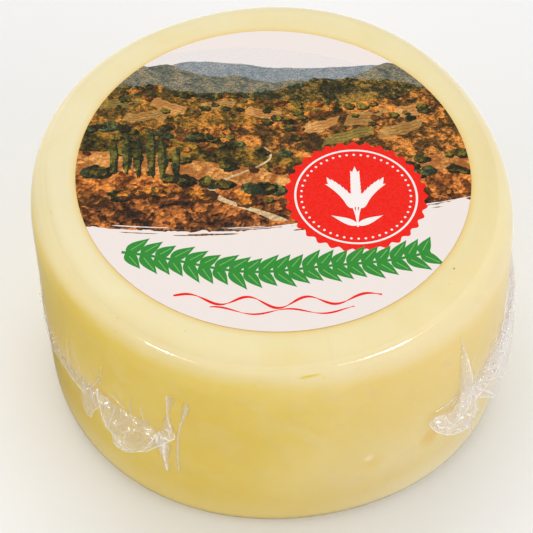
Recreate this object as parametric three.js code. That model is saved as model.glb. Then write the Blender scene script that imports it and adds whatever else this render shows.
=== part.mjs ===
// A small wheel of kashkaval, a pressed yellow cheese, shrink-wrapped in clear film with a round
// paper label on its top. Millimetres, +Z up, the wheel stands on its flat base at z = 0.
//
// The wheel leans a little, its plan is slightly out of round, its top edge is broad and soft and
// its bottom edge tight. The film clings to it and only leaves it at the sealed seam, a crumpled fin
// that runs round the left, back and right at about half the height, with a dog ear at each corner
// of the flattened bag. The front is a fold with no seam.
import * as THREE from "three";

// ---- driving sizes (mm, degrees) ----
const RADIUS = 63.5; // of the wheel at the start of its top shoulder
const HEIGHT = 75.7;
const BASE_FACTOR = 0.98; // the wheel narrows to this share of RADIUS at the base
const BELLY = 0.17; // outward bow of the side at half height
const SHOULDER_IN = 8.6; // how far the rounded top edge reaches in
const SHOULDER_DOWN = 16.6; // and down
const SHOULDER_POWER = 2.03; // 2 is an ellipse
const FOOT_ROUND = 5.0; // rounding of the bottom edge
const LEAN_X = 2.79; // the base's centre lies this far beside the top's
const LEAN_Y = 0.37;
// how far out of round the plan is, as shares of the radius: [waves round the plan, cosine, sine]
const TOP_WAVES = [[2, -0.0001, 0.0011], [3, -0.0034, -0.0021], [4, 0.0001, -0.0085]];
const BASE_WAVES = [[2, 0.0025, 0.0004], [3, 0.002, -0.0031], [4, -0.0041, -0.006]];

const LABEL_RADIUS = 51.07;
const LABEL_THICK = 0.22;
const LABEL_GAP = 0.05; // film under the label
const LABEL_X = 0.55; // its centre is a little off the middle of the top
const LABEL_Y = -3.09;

const SEAM_START = -112; // bearing of the left front ear's tip, 0 is +X and -90 is the front
const SEAM_END = -409; // right front ear's tip, going round the left and the back
const SEAM_HEIGHT = 33.6; // root of the fin above the base
const SEAM_HANG = 3.6; // how far the fin's free edge droops
const SEAM_STAND_OFF = 1.2; // and how far it stands away from the wheel
const SEAM_THICK = 0.6;
const SEAM_GAP = 0.3; // between the fin's root and the wheel

const WHEEL_STEPS = 90;
const LABEL_STEPS = 96;
const SEAM_STEPS = 124;

const deg = Math.PI / 180;
const bump = (x, centre, width) => Math.exp(-(((x - centre) / width) ** 2));

// ---- the wheel's surface ----
// radius factor of the plan at bearing a, blended from the top's to the base's
function outOfRound(a, towardsBase) {
  const sum = (waves) => waves.reduce((s, [k, c, n]) => s + c * Math.cos(k * a) + n * Math.sin(k * a), 1);
  return sum(TOP_WAVES) * (1 - towardsBase) + sum(BASE_WAVES) * towardsBase;
}

// radius of the side, before shoulder and foot, at height z
function sideRadius(z) {
  const u = Math.min(Math.max(z / (HEIGHT - SHOULDER_DOWN), 0), 1);
  return RADIUS * (BASE_FACTOR + (1 - BASE_FACTOR) * u) + BELLY * 4 * u * (1 - u);
}

// half of the wheel's upright section, from the edge of the flat base to the edge of the flat top
function wheelProfile() {
  const points = [];
  const footSteps = 5, sideSteps = 6, shoulderSteps = 9;
  for (let i = 0; i <= footSteps; i++) {
    const t = (i / footSteps) * Math.PI / 2;
    const z = FOOT_ROUND * (1 - Math.cos(t));
    points.push([sideRadius(z) - FOOT_ROUND + FOOT_ROUND * Math.sin(t), z]);
  }
  const z0 = FOOT_ROUND, z1 = HEIGHT - SHOULDER_DOWN;
  for (let i = 1; i < sideSteps; i++) {
    const z = z0 + (z1 - z0) * i / sideSteps;
    points.push([sideRadius(z), z]);
  }
  for (let i = 0; i <= shoulderSteps; i++) {
    const t = (i / shoulderSteps) * Math.PI / 2;
    const across = Math.cos(t) ** (2 / SHOULDER_POWER), up = Math.sin(t) ** (2 / SHOULDER_POWER);
    points.push([RADIUS - SHOULDER_IN + SHOULDER_IN * across, z1 + SHOULDER_DOWN * up]);
  }
  return points.map(([r, z]) => [r, Math.abs(z - HEIGHT) < 1e-9 ? HEIGHT : z]);
}

// a point of the wheel's surface with plan radius r, at bearing a and height z, pushed out by `out`
function onWheel(r, a, z, out = 0) {
  const towardsBase = 1 - z / HEIGHT;
  const radius = r * outOfRound(a, towardsBase) + out;
  return new THREE.Vector3(
    radius * Math.cos(a) + LEAN_X * towardsBase,
    radius * Math.sin(a) + LEAN_Y * towardsBase,
    z,
  );
}

// ---- closed meshes ----
function geometryFrom(points, triangles) {
  const geometry = new THREE.BufferGeometry();
  geometry.setAttribute("position", new THREE.Float32BufferAttribute(points.flatMap((p) => [p.x, p.y, p.z]), 3));
  geometry.setIndex(triangles.flat());
  geometry.computeVertexNormals();
  return geometry;
}

// rings of the same number of points, each above the one before, closed by a fan at each end
function stackOfRings(rings, bottomCentre, topCentre) {
  const n = rings[0].length, points = rings.flat(), triangles = [];
  for (let k = 0; k + 1 < rings.length; k++) {
    for (let i = 0; i < n; i++) {
      const j = (i + 1) % n, a = k * n + i, b = k * n + j, c = a + n, d = b + n;
      triangles.push([a, b, d], [a, d, c]);
    }
  }
  const low = points.push(bottomCentre) - 1, high = points.push(topCentre) - 1, last = (rings.length - 1) * n;
  for (let i = 0; i < n; i++) {
    const j = (i + 1) % n;
    triangles.push([low, j, i], [high, last + i, last + j]);
  }
  return geometryFrom(points, triangles);
}

// sections of the same number of points along a path, each a closed loop, with a flat fan at both ends
function sweepOfSections(sections) {
  const n = sections[0].length, points = sections.flat(), triangles = [];
  for (let k = 0; k + 1 < sections.length; k++) {
    for (let i = 0; i < n; i++) {
      const j = (i + 1) % n, a = k * n + i, b = k * n + j, c = a + n, d = b + n;
      triangles.push([a, d, b], [a, c, d]);
    }
  }
  const last = (sections.length - 1) * n;
  for (let i = 1; i + 1 < n; i++) triangles.push([0, i, i + 1], [last, last + i + 1, last + i]);
  return geometryFrom(points, triangles);
}

// ---- wheel ----
function makeWheel() {
  const rings = wheelProfile().map(([r, z]) =>
    Array.from({ length: WHEEL_STEPS }, (_, i) => onWheel(r, (i / WHEEL_STEPS) * 2 * Math.PI, z)));
  const base = new THREE.Vector3(LEAN_X, LEAN_Y, 0), top = new THREE.Vector3(0, 0, HEIGHT);
  return stackOfRings(rings, base, top);
}

// ---- label: a round of paper laid on the flat of the top ----
function makeLabel() {
  const ring = (r, z) => Array.from({ length: LABEL_STEPS }, (_, i) => {
    const a = (i / LABEL_STEPS) * 2 * Math.PI;
    return new THREE.Vector3(LABEL_X + r * Math.cos(a), LABEL_Y + r * Math.sin(a), z);
  });
  const z0 = HEIGHT + LABEL_GAP, z1 = z0 + LABEL_THICK;
  return stackOfRings(
    [ring(LABEL_RADIUS, z0), ring(LABEL_RADIUS, z1)],
    new THREE.Vector3(LABEL_X, LABEL_Y, z0),
    new THREE.Vector3(LABEL_X, LABEL_Y, z1),
  );
}

// ---- seam: the sealed fin of the film with its dog ears ----
// what the fin does at bearing b (degrees): root height, droop, stand-off and sideways pull of its edge
function seamAt(b) {
  const root = SEAM_HEIGHT + 1.8 * bump(b, -122, 13) - 9.5 * bump(b, -180, 24) - 4 * bump(b, -390, 22) + bump(b, -409, 6);
  const ears = 4.8 * bump(b, -124, 8) + 5.6 * bump(b, -138.6, 2.6) + 3.6 * bump(b, -398, 7.5)
    + 4.5 * bump(b, -238, 8) + 4.5 * bump(b, -300, 8);
  const hang = SEAM_HANG + 0.5 * Math.sin(9 * b * deg) + ears + bump(b, -378, 9);
  const off = SEAM_STAND_OFF + 0.35 * Math.sin(13 * b * deg + 1) - 0.9 * bump(b, -180, 20)
    + 1.6 * bump(b, -124, 8) + 1.4 * bump(b, -399, 8) + 1.9 * bump(b, -368, 22)
    + 2 * bump(b, -238, 8) + 2 * bump(b, -300, 8) + 0.3 * Math.sin(31 * b * deg);
  return { root, hang, off, pull: 2 * bump(b, -116, 8) - 3 * bump(b, -402, 8) };
}

function makeSeam() {
  const across = 3; // panels from root to free edge
  const sections = [];
  for (let s = 0; s <= SEAM_STEPS; s++) {
    const t = s / SEAM_STEPS;
    const b = SEAM_START + (SEAM_END - SEAM_START) * t;
    const { root, hang, off, pull } = seamAt(b);
    const taper = Math.min(1, Math.min(t, 1 - t) / 0.02);
    const inner = [], outer = [];
    for (let i = 0; i <= across; i++) {
      const f = i / across;
      const z = root - hang * (0.3 + 0.7 * taper) * f;
      const crease = 0.35 * Math.sin(Math.PI * f) * Math.sin(23 * b * deg);
      const out = SEAM_GAP + (off * (0.3 + 0.7 * taper)) * f ** 1.2 + crease * taper * f;
      const a = (b + pull * f) * deg;
      inner.push(onWheel(sideRadius(z), a, z, Math.max(out, SEAM_GAP)));
      outer.push(onWheel(sideRadius(z), a, z, Math.max(out, SEAM_GAP) + SEAM_THICK));
    }
    // one loop round the fin's section: down its outer face and back up its inner one
    sections.push([...outer, ...inner.reverse()]);
  }
  return sweepOfSections(sections);
}

// ---- assembly ----
const cheese = new THREE.MeshStandardMaterial({ name: "cheese", color: 0xe8d48a, roughness: 0.45, metalness: 0 });
const film = new THREE.MeshStandardMaterial({
  name: "film", color: 0xf1efe9, roughness: 0.12, metalness: 0, transparent: true, opacity: 0.4,
});
const paper = new THREE.MeshStandardMaterial({ name: "label_paper", color: 0xefe5de, roughness: 0.55, metalness: 0 });

const group = new THREE.Group();
group.name = "kashkaval_wheel";
for (const [name, geometry, material] of [
  ["cheese_wheel", makeWheel(), cheese],
  ["film_seam", makeSeam(), film],
  ["label", makeLabel(), paper],
]) {
  const mesh = new THREE.Mesh(geometry, material);
  mesh.name = name;
  group.add(mesh);
}

// the reference point is the middle of the whole at floor level
const bounds = new THREE.Box3().setFromObject(group, true);
const middle = bounds.getCenter(new THREE.Vector3());
group.position.set(-middle.x, -middle.y, 0);
group.updateMatrixWorld(true);

export default group;
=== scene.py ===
import math

import bpy
import numpy as np
from mathutils import Matrix, Vector, geometry


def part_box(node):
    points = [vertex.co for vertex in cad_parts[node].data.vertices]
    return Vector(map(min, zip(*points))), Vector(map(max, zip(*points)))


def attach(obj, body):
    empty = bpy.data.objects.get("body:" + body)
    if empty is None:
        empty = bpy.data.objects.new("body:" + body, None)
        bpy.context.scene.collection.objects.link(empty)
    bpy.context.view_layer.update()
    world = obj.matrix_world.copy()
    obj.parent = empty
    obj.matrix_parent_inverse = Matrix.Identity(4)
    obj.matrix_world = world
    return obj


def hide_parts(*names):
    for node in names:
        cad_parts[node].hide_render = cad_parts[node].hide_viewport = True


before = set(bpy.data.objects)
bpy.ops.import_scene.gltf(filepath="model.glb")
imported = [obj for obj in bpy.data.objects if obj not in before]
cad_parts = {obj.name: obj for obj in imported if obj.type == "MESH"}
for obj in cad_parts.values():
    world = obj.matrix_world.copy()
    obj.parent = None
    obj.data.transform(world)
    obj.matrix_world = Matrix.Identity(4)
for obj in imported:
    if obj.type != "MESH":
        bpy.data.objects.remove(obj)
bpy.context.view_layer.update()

MM = 0.001
TAU = 2 * math.pi

# ---------------------------------------------------------------------------------------------
# Sizes of the wheel, in millimetres and degrees, as its solid has them
# ---------------------------------------------------------------------------------------------
RADIUS, HEIGHT = 63.5, 75.7
BASE_FACTOR, BELLY = 0.98, 0.17
SHOULDER_IN, SHOULDER_DOWN, SHOULDER_POWER = 8.6, 16.6, 2.03
FOOT_ROUND = 5.0
LEAN_X, LEAN_Y = 2.79, 0.37
TOP_WAVES = ((2, -0.0001, 0.0011), (3, -0.0034, -0.0021), (4, 0.0001, -0.0085))
BASE_WAVES = ((2, 0.0025, 0.0004), (3, 0.002, -0.0031), (4, -0.0041, -0.006))
LABEL_RADIUS, LABEL_X, LABEL_Y = 51.07, 0.55, -3.09
FILM_UNDER = 0.06  # the cheese lies this far under the film's outer face


def out_of_round(a, low):
    top = 1 + sum(c * np.cos(k * a) + s * np.sin(k * a) for k, c, s in TOP_WAVES)
    base = 1 + sum(c * np.cos(k * a) + s * np.sin(k * a) for k, c, s in BASE_WAVES)
    return top * (1 - low) + base * low


def side_radius(z):
    u = np.clip(z / (HEIGHT - SHOULDER_DOWN), 0, 1)
    return RADIUS * (BASE_FACTOR + (1 - BASE_FACTOR) * u) + BELLY * 4 * u * (1 - u)


def profile_radius(z):
    """Radius of the outside at height z, with foot and shoulder."""
    z = np.asarray(z, float)
    side = side_radius(z)
    y = np.clip((z - (HEIGHT - SHOULDER_DOWN)) / SHOULDER_DOWN, 0, 1)
    shoulder = RADIUS - SHOULDER_IN + SHOULDER_IN * (1 - y ** SHOULDER_POWER) ** (1 / SHOULDER_POWER)
    foot = side - FOOT_ROUND + FOOT_ROUND * np.sqrt(np.clip(1 - np.clip(1 - z / FOOT_ROUND, 0, 1) ** 2, 0, 1))
    return np.where(z > HEIGHT - SHOULDER_DOWN, shoulder, np.where(z < FOOT_ROUND, foot, side))


def on_wheel(r, a, z, shift=(0.0, 0.0)):
    """Points with plan radius r at bearing a (radians) and height z, in millimetres."""
    low = 1 - z / HEIGHT
    q = r * out_of_round(a, low)
    return np.stack([q * np.cos(a) + LEAN_X * low + shift[0], q * np.sin(a) + LEAN_Y * low + shift[1], z + 0 * a], -1)


def frame_shift():
    """Where the solid's own reference point lies in the frame, read from the solid's box."""
    a = np.arange(90) / 90 * TAU
    rows = []
    for t in np.arange(6) / 5 * math.pi / 2:
        z = FOOT_ROUND * (1 - math.cos(t))
        rows.append((float(side_radius(z)) - FOOT_ROUND + FOOT_ROUND * math.sin(t), z))
    z0, z1 = FOOT_ROUND, HEIGHT - SHOULDER_DOWN
    rows += [(float(side_radius(z0 + (z1 - z0) * i / 6)), z0 + (z1 - z0) * i / 6) for i in range(1, 7)]
    pts = np.concatenate([on_wheel(r, a, np.full_like(a, z)) for r, z in rows])
    lo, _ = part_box("cheese_wheel")
    return lo[0] / MM - pts[:, 0].min(), lo[1] / MM - pts[:, 1].min()


SHIFT = frame_shift()


def skin_point(bearing, z, out):
    """A point `out` mm off the wheel's side at a bearing in degrees. Arrays or numbers."""
    b, z, out = np.broadcast_arrays(np.asarray(bearing, float), np.asarray(z, float), np.asarray(out, float))
    a = np.radians(b)
    low = 1 - z / HEIGHT
    q = profile_radius(z) * out_of_round(a, low) + out
    return np.stack([q * np.cos(a) + LEAN_X * low + SHIFT[0], q * np.sin(a) + LEAN_Y * low + SHIFT[1], z], -1)


# ---------------------------------------------------------------------------------------------
# Noise
# ---------------------------------------------------------------------------------------------
def hash01(i, j, seed):
    h = (i.astype(np.int64) * 374761393 + j.astype(np.int64) * 668265263 + seed * 974711) & 0xFFFFFFFF
    h = ((h ^ (h >> 13)) * 1274126177) & 0xFFFFFFFF
    h = ((h ^ (h >> 16)) * 2246822519) & 0xFFFFFFFF
    return ((h ^ (h >> 15)) & 0xFFFFFF) / float(0xFFFFFF)


def soft_noise(x, y, seed):
    """Smooth value noise from 0 to 1, one cell per unit."""
    x, y = np.broadcast_arrays(np.asarray(x, float), np.asarray(y, float))
    i, j = np.floor(x), np.floor(y)
    u, v = x - i, y - j
    u, v = u * u * (3 - 2 * u), v * v * (3 - 2 * v)
    h = lambda di, dj: hash01(i + di, j + dj, seed)
    return (h(0, 0) * (1 - u) + h(1, 0) * u) * (1 - v) + (h(0, 1) * (1 - u) + h(1, 1) * u) * v


def crumple(x, y, seed):
    """Flat facets between sharp creases, one facet side per unit: height 0 to 1, and how near a crease, 0 to 1."""
    x, y = np.broadcast_arrays(np.asarray(x, float), np.asarray(y, float))
    x = x + 0.7 * (soft_noise(x * 0.8, y * 0.8, seed + 11) - 0.5)
    y = y + 0.7 * (soft_noise(x * 0.8 + 7, y * 0.8 + 3, seed + 12) - 0.5)
    s = (x + y) * 0.3660254
    i, j = np.floor(x + s), np.floor(y + s)
    a, b = x + s - i, y + s - j
    first = a > b
    w0, w1, w2 = np.where(first, 1 - a, 1 - b), np.abs(a - b), np.where(first, b, a)
    h = w0 * hash01(i, j, seed) + w1 * np.where(first, hash01(i + 1, j, seed), hash01(i, j + 1, seed)) + w2 * hash01(i + 1, j + 1, seed)
    near = 1 - np.clip(np.minimum(np.minimum(w0, w1), w2) / 0.12, 0, 1)
    return h, near


def bump(x, centre, width):
    return np.exp(-(((x - centre) / width) ** 2))


def smooth(x, lo, hi):
    t = np.clip((x - lo) / (hi - lo), 0, 1)
    return t * t * (3 - 2 * t)


# ---------------------------------------------------------------------------------------------
# Meshes
# ---------------------------------------------------------------------------------------------
def add_mesh(name, points, quads=(), tris=(), attributes=None, smooth_faces=True):
    """A mesh object from points in millimetres, with one number per point for each attribute."""
    quads, tris = np.asarray(quads, int).reshape(-1, 4), np.asarray(tris, int).reshape(-1, 3)
    mesh = bpy.data.meshes.new(name)
    mesh.vertices.add(len(points))
    mesh.vertices.foreach_set("co", (np.asarray(points, float) * MM).astype(np.float32).ravel())
    loops = np.concatenate([quads.ravel(), tris.ravel()])
    mesh.loops.add(len(loops))
    mesh.loops.foreach_set("vertex_index", loops.astype(np.int32))
    sizes = np.concatenate([np.full(len(quads), 4), np.full(len(tris), 3)]).astype(np.int32)
    mesh.polygons.add(len(sizes))
    mesh.polygons.foreach_set("loop_start", np.concatenate([[0], np.cumsum(sizes)[:-1]]).astype(np.int32))
    mesh.polygons.foreach_set("use_smooth", np.full(len(sizes), smooth_faces))
    mesh.update(calc_edges=True)
    mesh.validate()
    for key, values in (attributes or {}).items():
        layer = mesh.attributes.new(key, "FLOAT", "POINT")
        layer.data.foreach_set("value", np.asarray(values, np.float32))
    obj = bpy.data.objects.new(name, mesh)
    bpy.context.scene.collection.objects.link(obj)
    return obj


def grid_quads(rows, cols, wrap=False, start=0, flip=False):
    i, j = np.meshgrid(np.arange(rows - 1), np.arange(cols if wrap else cols - 1), indexing="ij")
    k = (j + 1) % cols
    q = np.stack([i * cols + j, i * cols + k, (i + 1) * cols + k, (i + 1) * cols + j], -1).reshape(-1, 4) + start
    return q[:, ::-1] if flip else q


def shell(sheet, thickness, normals):
    """Closes a rows x cols sheet of points into a thin body: points, quads. The second face lies back along the normals."""
    rows, cols, _ = sheet.shape
    n = rows * cols
    points = np.concatenate([sheet.reshape(-1, 3), (sheet - normals * thickness).reshape(-1, 3)])
    quads = [grid_quads(rows, cols), grid_quads(rows, cols, start=n, flip=True)]
    rim = np.concatenate([
        np.arange(cols - 1), np.arange(rows - 1) * cols + cols - 1,
        (rows - 1) * cols + np.arange(cols - 1, 0, -1), np.arange(rows - 1, 0, -1) * cols,
    ])
    nxt = np.roll(rim, -1)
    quads.append(np.stack([nxt, rim, rim + n, nxt + n], -1))
    return points, np.concatenate(quads)


def sheet_normals(sheet, outward):
    """Unit normals of a grid of points, turned to the side of `outward`."""
    du, dv = np.gradient(sheet, axis=1), np.gradient(sheet, axis=0)
    n = np.cross(du, dv)
    n /= np.maximum(np.linalg.norm(n, axis=-1, keepdims=True), 1e-9)
    return np.where((n * outward).sum(-1, keepdims=True) < 0, -n, n)


def outward_at(bearing):
    a = np.radians(np.asarray(bearing, float))
    return np.stack([np.cos(a), np.sin(a), 0 * a], -1)


class Parts:
    """Collects closed bodies into one mesh."""

    def __init__(self):
        self.points, self.quads, self.tris, self.values = [], [], [], {}
        self.count = 0

    def add(self, points, quads=(), tris=(), **values):
        if len(quads):
            self.quads.append(np.asarray(quads) + self.count)
        if len(tris):
            self.tris.append(np.asarray(tris) + self.count)
        self.points.append(points)
        for key, v in values.items():
            self.values.setdefault(key, []).append(np.broadcast_to(np.asarray(v, float), (len(points),)))
        self.count += len(points)

    def build(self, name, smooth_faces=True):
        return add_mesh(
            name, np.concatenate(self.points),
            np.concatenate(self.quads) if self.quads else (),
            np.concatenate(self.tris) if self.tris else (),
            {k: np.concatenate(v) for k, v in self.values.items()}, smooth_faces)


# ---------------------------------------------------------------------------------------------
# Node helpers
# ---------------------------------------------------------------------------------------------
class Nodes:
    def __init__(self, name):
        self.mat = bpy.data.materials.new(name)
        self.mat.use_nodes = True
        self.tree = self.mat.node_tree
        self.tree.nodes.clear()
        self.out = self.tree.nodes.new("ShaderNodeOutputMaterial")

    def node(self, kind, **settings):
        n = self.tree.nodes.new("ShaderNode" + kind)
        for k, v in settings.items():
            setattr(n, k, v)
        return n

    def put(self, socket, value):
        if value is None:
            return
        if isinstance(value, bpy.types.NodeSocket):
            self.tree.links.new(value, socket)
        elif hasattr(socket.default_value, "__len__") and not hasattr(value, "__len__"):
            socket.default_value = [value] * len(socket.default_value)
        elif hasattr(socket.default_value, "__len__") and len(socket.default_value) == 4 and len(value) == 3:
            socket.default_value = (*value, 1)
        else:
            socket.default_value = value

    def math(self, op, a, b=None, c=None, clamp=False):
        n = self.node("Math", operation=op, use_clamp=clamp)
        for s, v in zip(n.inputs, (a, b, c)):
            self.put(s, v)
        return n.outputs[0]

    def mix(self, fac, a, b, mode="MIX"):
        n = self.node("Mix", data_type="RGBA", blend_type=mode)
        self.put(n.inputs["Factor"], fac)
        self.put(n.inputs[6], a)
        self.put(n.inputs[7], b)
        return n.outputs[2]

    def ramp(self, fac, *stops):
        n = self.node("ValToRGB")
        while len(n.color_ramp.elements) < len(stops):
            n.color_ramp.elements.new(0.5)
        for e, (at, colour) in zip(n.color_ramp.elements, stops):
            e.position = at
            e.color = (*colour, 1) if hasattr(colour, "__len__") else (colour, colour, colour, 1)
        self.put(n.inputs[0], fac)
        return n.outputs[0]

    def range(self, value, a, b, c, d):
        n = self.node("MapRange")
        for s, v in zip(n.inputs, (value, a, b, c, d)):
            self.put(s, v)
        return n.outputs[0]

    def noise(self, where, scale, detail=3, rough=0.5, distort=0.0):
        n = self.node("TexNoise")
        self.put(n.inputs["Vector"], where)
        n.inputs["Scale"].default_value = scale
        n.inputs["Detail"].default_value = detail
        n.inputs["Roughness"].default_value = rough
        n.inputs["Distortion"].default_value = distort
        return n.outputs[0]

    def attribute(self, name, output="Fac"):
        return self.node("Attribute", attribute_name=name).outputs[output]

    def place(self, scale=(1, 1, 1), move=(0, 0, 0)):
        n = self.node("Mapping")
        n.inputs["Scale"].default_value = scale
        n.inputs["Location"].default_value = move
        self.put(n.inputs["Vector"], self.node("TexCoord").outputs["Object"])
        return n.outputs[0]

    def bump_normal(self, height, strength, distance, normal=None):
        n = self.node("Bump")
        n.inputs["Strength"].default_value = strength
        n.inputs["Distance"].default_value = distance
        self.put(n.inputs["Height"], height)
        self.put(n.inputs["Normal"], normal)
        return n.outputs[0]

    def surface(self, socket):
        self.tree.links.new(socket, self.out.inputs["Surface"])


def rgb(r, g, b):
    """Linear colour from 0 to 255 display values."""
    f = lambda v: v / 255 / 12.92 if v / 255 <= 0.04045 else ((v / 255 + 0.055) / 1.055) ** 2.4
    return (f(r), f(g), f(b))


# ---------------------------------------------------------------------------------------------
# Camera: the photograph's angle, with a long lens
# ---------------------------------------------------------------------------------------------
ELEVATION, ROLL = 0.8927, 0.0353
CAMERA_AWAY = 11.5826 * RADIUS
CAMERA_RIGHT, CAMERA_UP = -0.007 * RADIUS, -0.0379 * RADIUS
LENS = 184.23

sc = bpy.context.scene
right = Vector((1, 0, 0))
up = Vector((0, math.sin(ELEVATION), math.cos(ELEVATION)))
back = Vector((0, -math.cos(ELEVATION), math.sin(ELEVATION)))
spot = Vector((SHIFT[0], SHIFT[1], HEIGHT / 2)) + back * CAMERA_AWAY + right * CAMERA_RIGHT + up * CAMERA_UP
x_axis = right * math.cos(ROLL) + up * math.sin(ROLL)
y_axis = up * math.cos(ROLL) - right * math.sin(ROLL)
cam_data = bpy.data.cameras.new("camera")
cam_data.lens = LENS
cam_data.sensor_width = 36
cam_data.clip_start = 0.01
cam = bpy.data.objects.new("camera", cam_data)
cam.matrix_world = Matrix((
    (x_axis.x, y_axis.x, back.x, spot.x * MM),
    (x_axis.y, y_axis.y, back.y, spot.y * MM),
    (x_axis.z, y_axis.z, back.z, spot.z * MM),
    (0, 0, 0, 1),
))
sc.collection.objects.link(cam)
sc.camera = cam

# ---------------------------------------------------------------------------------------------
# The film's seam: where it runs and how it hangs (bearings in degrees, 0 is +X, -90 the front)
# ---------------------------------------------------------------------------------------------
SEAM_START, SEAM_END = -112.0, -409.0
BACK_EARS = (-238.0, -300.0)


def seam_root(b):
    return 33.6 + 2.8 * bump(b, -122, 14) - 9.0 * bump(b, -180, 22) - 4.0 * bump(b, -390, 22) + bump(b, -409, 6)


def seam_on(b):
    """1 where there is a seam, 0 at the front fold."""
    b = np.where(b > -90, b - 360, b)
    return smooth(b, -404, -392) * (1 - smooth(b, -119, -110))


# ---------------------------------------------------------------------------------------------
# Cheese and film skin
# ---------------------------------------------------------------------------------------------
def wheel_rows(base_rows, foot_rows, side_rows, shoulder_rows, top_rows):
    """Points down the wheel's upright section: radius, height and the section's outward normal."""
    r0 = float(side_radius(0)) - FOOT_ROUND
    rows = [(r0 * (i / base_rows), 0.0) for i in range(1, base_rows)]
    for t in np.linspace(0, math.pi / 2, foot_rows, endpoint=False):
        z = FOOT_ROUND * (1 - math.cos(t))
        rows.append((float(side_radius(z)) - FOOT_ROUND + FOOT_ROUND * math.sin(t), z))
    z1 = HEIGHT - SHOULDER_DOWN
    for z in np.linspace(FOOT_ROUND, z1, side_rows, endpoint=False):
        rows.append((float(side_radius(z)), z))
    for t in np.linspace(0, math.pi / 2, shoulder_rows):
        rows.append((RADIUS - SHOULDER_IN + SHOULDER_IN * math.cos(t) ** (2 / SHOULDER_POWER),
                     z1 + SHOULDER_DOWN * math.sin(t) ** (2 / SHOULDER_POWER)))
    r1 = RADIUS - SHOULDER_IN
    rows += [(r1 * (1 - i / top_rows), HEIGHT) for i in range(1, top_rows)]
    rows = np.array(rows)
    d = np.gradient(rows, axis=0)
    n = np.stack([d[:, 1], -d[:, 0]], -1)
    return rows, n / np.linalg.norm(n, axis=1, keepdims=True)


def wheel_body(name, rows, normals, columns, out, attributes=None):
    """A closed body over the wheel, pushed out by out(bearing, height) mm along the section's normal."""
    a = np.arange(columns) / columns * TAU
    r, z = rows[:, :1] + 0 * a, rows[:, 1:] + 0 * a
    push = out(np.degrees(a)[None, :] + 0 * z, z, r)
    pts = on_wheel(r + push * normals[:, :1], a[None, :] + 0 * z, z + push * normals[:, 1:], SHIFT)
    low = on_wheel(np.zeros(1), np.zeros(1), np.array([push[0].mean() * normals[0, 1] + rows[0, 1]]), SHIFT)
    high = on_wheel(np.zeros(1), np.zeros(1), np.array([push[-1].mean() * normals[-1, 1] + rows[-1, 1]]), SHIFT)
    points = np.concatenate([pts.reshape(-1, 3), low, high])
    n = len(rows) * columns
    i = np.arange(columns)
    j = (i + 1) % columns
    tris = np.concatenate([np.stack([np.full(columns, n), j, i], -1), np.stack([np.full(columns, n + 1), n - columns + i, n - columns + j], -1)])
    values = {}
    for key, f in (attributes or {}).items():
        v = f(np.degrees(a)[None, :] + 0 * z, z, r)
        values[key] = np.concatenate([v.ravel(), [v[0].mean(), v[-1].mean()]])
    return add_mesh(name, points, grid_quads(len(rows), columns, wrap=True), tris, values)


def front(b):
    """Bearings as -270 to 90, so that the front and both sides are one stretch."""
    return np.where(b > 90, b - 360, b)


def on_right(g):
    """1 at the front and right, falling to 0 at the back."""
    return 1 - smooth(g, 25, 88)


def on_left(g):
    """1 at the front and left, falling to 0 at the back."""
    return 1 - smooth(-g, 195, 268)


def cheese_out(b, z, r):
    f = front(b)
    x, y = np.radians(f) * 63, z
    lumps = 0.35 * (soft_noise(x / 24, y / 20 + r / 22, 3) - 0.5) + 0.12 * (soft_noise(x / 7, y / 6 + r / 7, 4) - 0.5)
    eye = 0.35 * np.exp(-(((f + 65.5) / 1.5) ** 2 + ((z - 26.8) / 1.2) ** 2))
    dent = -0.9 * np.exp(-(((f + 47) / 4.0) ** 2 + ((z - 22.5) / 4.5) ** 2))
    slit = -0.22 * np.exp(-(((f + 79.9) / 2.2) ** 4 + ((z - SLIT_LEVEL - 0.10 * (f + 79.9)) / 0.28) ** 2))
    inside = np.clip(r / 40, 0, 1)
    under_label = 1 - smooth(r, 51.5, 56)
    flat = np.where(z > HEIGHT - 0.5, under_label, 0)
    return -FILM_UNDER - 0.06 + (lumps * 0.2 * inside + eye * 0.4 + dent * 0.5 + slit) * (1 - flat) + 0.11 * flat


SLIT_LEVEL = 67.0


def cheese_mark(b, z, r):
    """Small deeper marks: the slit, the dent, and where the label's edge shades the top."""
    f = front(b)
    slit = 1.3 * np.exp(-(((f + 79.9) / 2.3) ** 4 + ((z - SLIT_LEVEL - 0.10 * (f + 79.9)) / 0.34) ** 2))
    nick = 0.4 * np.exp(-(((f + 76.6) / 0.35) ** 2 + ((z - 66.2) / 0.6) ** 2))
    scratch = 0.5 * np.exp(-(((f + 92.9 - 0.6 * (z - 64.4)) / 0.35) ** 2 + ((z - 64.4) / 1.2) ** 2))
    dent = 0.20 * np.exp(-(((f + 47.4) / 3.2) ** 2 + ((z - 21.8) / 3.8) ** 2))
    warm = 0.10 * np.exp(-(((f + 84) / 5) ** 2 + ((z - 72.5) / 1.6) ** 2))
    return slit + nick + scratch + dent + warm


def cheese_pale_and_sheen(b, z, r):
    """1 on the pale top and shoulder, 0 on the deeper side: the paleness is partly the cheese's own colour and partly
    painted sheen. The border dips from the left to the right.
    """
    a = np.radians(b)
    level = 65.0 - 4.8 * np.maximum(np.cos(a), -0.35) + 1.4 * (soft_noise(np.cos(a) * 2.1 + 5, np.sin(a) * 2.1 + 5, 61) - 0.5)
    wide = 3.4 + 1.4 * np.maximum(np.cos(a), 0)
    return smooth(z, level - wide, level + wide * 1.3)


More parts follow.
